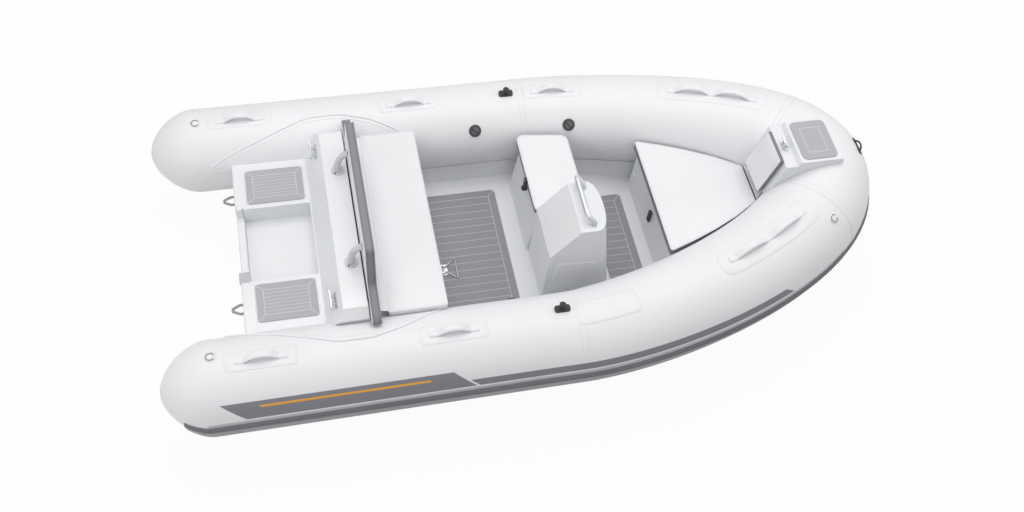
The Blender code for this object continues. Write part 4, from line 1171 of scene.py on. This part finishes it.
class TENDER_OT_cushions(bpy.types.Operator):
    """Seat pads, backrest, bolster and the flaps beside the pads"""

    bl_idname = "tender.cushions"
    bl_label = "Cushions"

    def execute(self, context):
        low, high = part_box("rear_seat_cushion")
        # The three seat pads are equally tall.
        tall = high.z - low.z
        outline = split(rounded(corners_of(low, high), PAD_CORNER), PAD_EDGE)
        cushion("rear_seat_pad", "rear_seat_cushion", outline, low.z, tall, "rear_lid")
        low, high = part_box("console_seat_cushion")
        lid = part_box("console_seat_lid")[0].z
        aft, fwd = (berth(x, lid) - PAD_CLEAR for x in (low.x, high.x))
        corners = [(low.x, low.y), (high.x, low.y), (high.x, fwd), (low.x, aft)]
        outline = split(rounded(corners, CONSOLE_PAD_CORNER), PAD_EDGE)
        sewing = {"dark": (0.0, 0.85), "welts": (1, 0)}
        cushion("console_seat_pad", "console_seat_cushion", outline, low.z, tall, "console_lid", **sewing)
        low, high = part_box("bow_cushion")
        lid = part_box("bow_locker_lid")[0].z
        half = [(float(x), berth(x, lid) - PAD_CLEAR) for x in np.linspace(low.x, high.x, BOW_PAD_POINTS)]
        outline = split(rounded(both_sides(half), PAD_CORNER), PAD_EDGE)
        sewing = {"dark": (0.0, 0.86), "welts": (1, 0), "plain": 0.6, "tight": 0.5}
        cushion("bow_locker_pad", "bow_cushion", outline, low.z, tall, "bow_lid", **sewing)
        self.backrest()
        self.bolster()
        self.flaps()
        return {"FINISHED"}

    def flaps(self):
        """Vinyl flaps that close the gaps behind the rear pad and ahead of the bow pad."""
        low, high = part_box("rear_seat_cushion")
        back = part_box("backrest_cushion")[1].x - REAR_FLAP_UNDER
        edge = low.x + REAR_FLAP_LAP
        corners = [(back, low.y + REAR_FLAP_TAPER), (edge, low.y + PAD_CLEAR)]
        corners += [(edge, high.y - PAD_CLEAR), (back, high.y - REAR_FLAP_TAPER)]
        top = high.z - sizes().fill_room - REAR_FLAP_DOWN
        self.flap("rear_pad_flap", corners, top - REAR_FLAP_THICK, top, "rear_lid")
        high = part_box("bow_cushion")[1]
        aft, fwd = (high.x + run for run in BOW_FLAP_RUN)
        half = [(float(x), berth(x, high.z) - BOW_FLAP_CLEAR) for x in np.linspace(aft, fwd, BOW_FLAP_POINTS)]
        self.flap("bow_pad_flap", both_sides(half), high.z - BOW_FLAP_THICK, high.z, ROOT)

    def flap(self, name, corners, low, high, body):
        rings = [[Vector((x, y, z)) for x, y in corners] for z in (low, high)]
        add(name, skin(rings), ["vinyl"], body, 60.0)

    def backrest(self):
        mirror = [(-y, z) for y, z in BACKREST_HALF[::-1]]
        outline = split(rounded([*BACKREST_HALF, *mirror], BACKREST_CORNER), PAD_EDGE)
        low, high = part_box("backrest_cushion")
        turn = Matrix(((0, 0, 1), (1, 0, 0), (0, 1, 0))).to_4x4()
        place = Matrix.Translation((low.x, 0, 0)) @ turn
        sewing = {"dark": (0.06, 0.98), "welts": (1, 1)}
        cushion("backrest_pad", "backrest_cushion", outline, 0.0, high.x - low.x, ROOT, place, **sewing)

    def bolster(self):
        tilt = math.radians(BOLSTER_TILT)
        up = Vector((math.sin(tilt), 0, math.cos(tilt)))
        back = Vector((math.cos(tilt), 0, -math.sin(tilt)))
        corners = corners_of((-BOLSTER_HALF, 0.0), (BOLSTER_HALF, BOLSTER_TALL))
        outline = split(rounded(corners, BOLSTER_CORNER), PAD_EDGE)
        turn = Matrix((Vector((0, 1, 0)), up, -back)).transposed().to_4x4()
        place = Matrix.Translation(Vector(BOLSTER_FOOT) + back * BOLSTER_THICK) @ turn
        sewing = {"dark": (0.0, 0.84), "voxel": 0.005, "welts": (1, 0)}
        cushion("bolster_pad", "bow_bolster", outline, 0.0, BOLSTER_THICK, ROOT, place, **sewing)


class TENDER_OT_mats(bpy.types.Operator):
    """Foam mats on the floor, platform and bow step"""

    bl_idname = "tender.mats"
    bl_label = "Deck mats"

    def execute(self, context):
        c = looks()
        planks = sizes().planks
        plans = {
            "aft_floor_mat": (c.mat, 0.04, planks),
            "forward_floor_mat": (c.mat, 0.04, planks - 3),
            "platform_mat_port": (c.pale_mat, 0.035, planks // 2),
            "platform_mat_starboard": (c.pale_mat, 0.035, planks // 2),
            "bow_step_pad": (c.pale_mat, 0.042, 0),
        }
        for node, plan in plans.items():
            coat(node, mat_finish(node, *plan))
        return {"FINISHED"}


class TENDER_OT_valves(bpy.types.Operator):
    """Filling valves and relief valves"""

    bl_idname = "tender.valves"
    bl_label = "Valves"

    def execute(self, context):
        for label in ("port", "starboard", "bow"):
            self.filling_valve(label)
        for label, side in SIDES:
            self.relief_valve(label, along_x(RELIEF_X), TOP_ANGLE[label], side)
        self.relief_valve("bow", RELIEF_BOW_S, RELIEF_BOW_ANGLE, -1)
        return {"FINISHED"}

    def filling_valve(self, label):
        """A cap with a toothed rim, a dish in it and a bar to turn it by."""
        joint = JOINTS["valve_cap_turn_" + label]
        out = Vector(joint["axis"]).normalized()
        place = Matrix.Translation(joint["pos_m"]) @ out.to_track_quat("Z", "Y").to_matrix().to_4x4()
        bm = lathe(VALVE_RIM, 56, teeth=VALVE_TEETH)
        lathe(VALVE_DISH, 40, bm, 1)
        half_long, half_wide = VALVE_BAR
        bar = rounded(corners_of((-half_long, -half_wide), (half_long, half_wide)), VALVE_BAR_CORNER)
        skin([level_ring(inset(bar, into), z) for into, z in VALVE_BAR_RIM], True, bm, 0)
        turn = Matrix.Rotation(math.radians(VALVE_TURN), 4, "Z")
        bmesh.ops.transform(bm, matrix=place @ turn, verts=bm.verts)
        piece = add("valve_lid_" + label, bm, ["cap", "dish"], "cap_" + label)
        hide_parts("valve_cap_" + label)

    def relief_valve(self, label, s, angle, side):
        """A low dome with an open grey ring in it: the ring is painted shade, the C-shaped shadow round the
        dome's raised disc.
        """
        bm = lathe(RELIEF_DOME, 40)
        radius, z = RELIEF_SHADE_RING
        # The C-shaped grey bead is painted shadow round the raised disc.
        arc = np.radians(np.linspace(*RELIEF_SHADE_ARC, 33))
        ring = [Vector((radius * math.cos(a), radius * math.sin(a), z)) for a in arc]
        sweep(ring, RELIEF_SHADE_BEAD, False, bm, 1)
        bmesh.ops.transform(bm, matrix=seat(s, angle, side, RELIEF_SINK), verts=bm.verts)
        piece = add("relief_valve_dome_" + label, bm, ["fabric", "cast"])
        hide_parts("relief_valve_" + label)


class TENDER_OT_fittings(bpy.types.Operator):
    """Steel, plastic and rubber fittings"""

    bl_idname = "tender.fittings"
    bl_label = "Fittings"

    def execute(self, context):
        for name, starts in FITTINGS.items():
            for node in NODES:
                if node.startswith(starts):
                    coat(node, finish(name))
        self.bracket_screws()
        return {"FINISHED"}

    def bracket_screws(self):
        """Two screw heads on each foot of the backrest brackets."""
        bm = bmesh.new()
        for label, _ in SIDES:
            low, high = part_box("backrest_bracket_" + label)
            middle = Vector((low.x + FOOT_MIDDLE, (low.y + high.y) / 2, low.z + FOOT_THICK))
            for angle in SCREW_ANGLES:
                a = math.radians(angle)
                spot = middle + Vector((SCREW_CIRCLE * math.cos(a), SCREW_CIRCLE * math.sin(a), 0.0))
                before = len(bm.verts)
                lathe(SCREW_HEAD, 16, bm)
                bm.verts.ensure_lookup_table()
                bmesh.ops.translate(bm, verts=bm.verts[before:], vec=spot)
        add("bracket_screws", bm, ["black"])


OPERATORS = (
    TENDER_OT_stage,
    TENDER_OT_tubes,
    TENDER_OT_patches,
    TENDER_OT_strake,
    TENDER_OT_mouldings,
    TENDER_OT_cushions,
    TENDER_OT_mats,
    TENDER_OT_valves,
    TENDER_OT_fittings,
)


class TENDER_PT_sidebar(bpy.types.Panel):
    """The tender's pieces and their sizes"""

    bl_idname = "TENDER_PT_sidebar"
    bl_label = "Inflatable tender"
    bl_space_type = "VIEW_3D"
    bl_region_type = "UI"
    bl_category = "Tender"

    def draw(self, context):
        for operator in OPERATORS:
            self.layout.operator(operator.bl_idname)
        for group in (context.scene.tender_sizes, context.scene.tender_colours):
            for name in group.__annotations__:
                self.layout.prop(group, name)


CLASSES = (TenderSizes, TenderColours, *OPERATORS, TENDER_PT_sidebar)


def register():
    for each in CLASSES:
        bpy.utils.register_class(each)
    bpy.types.Scene.tender_sizes = PointerProperty(type=TenderSizes)
    bpy.types.Scene.tender_colours = PointerProperty(type=TenderColours)


def unregister():
    del bpy.types.Scene.tender_colours
    del bpy.types.Scene.tender_sizes
    for each in reversed(CLASSES):
        bpy.utils.unregister_class(each)


def main():
    register()
    for operator in OPERATORS:
        group, name = operator.bl_idname.split(".")
        getattr(getattr(bpy.ops, group), name)()


if __name__ == "__main__":
    main()
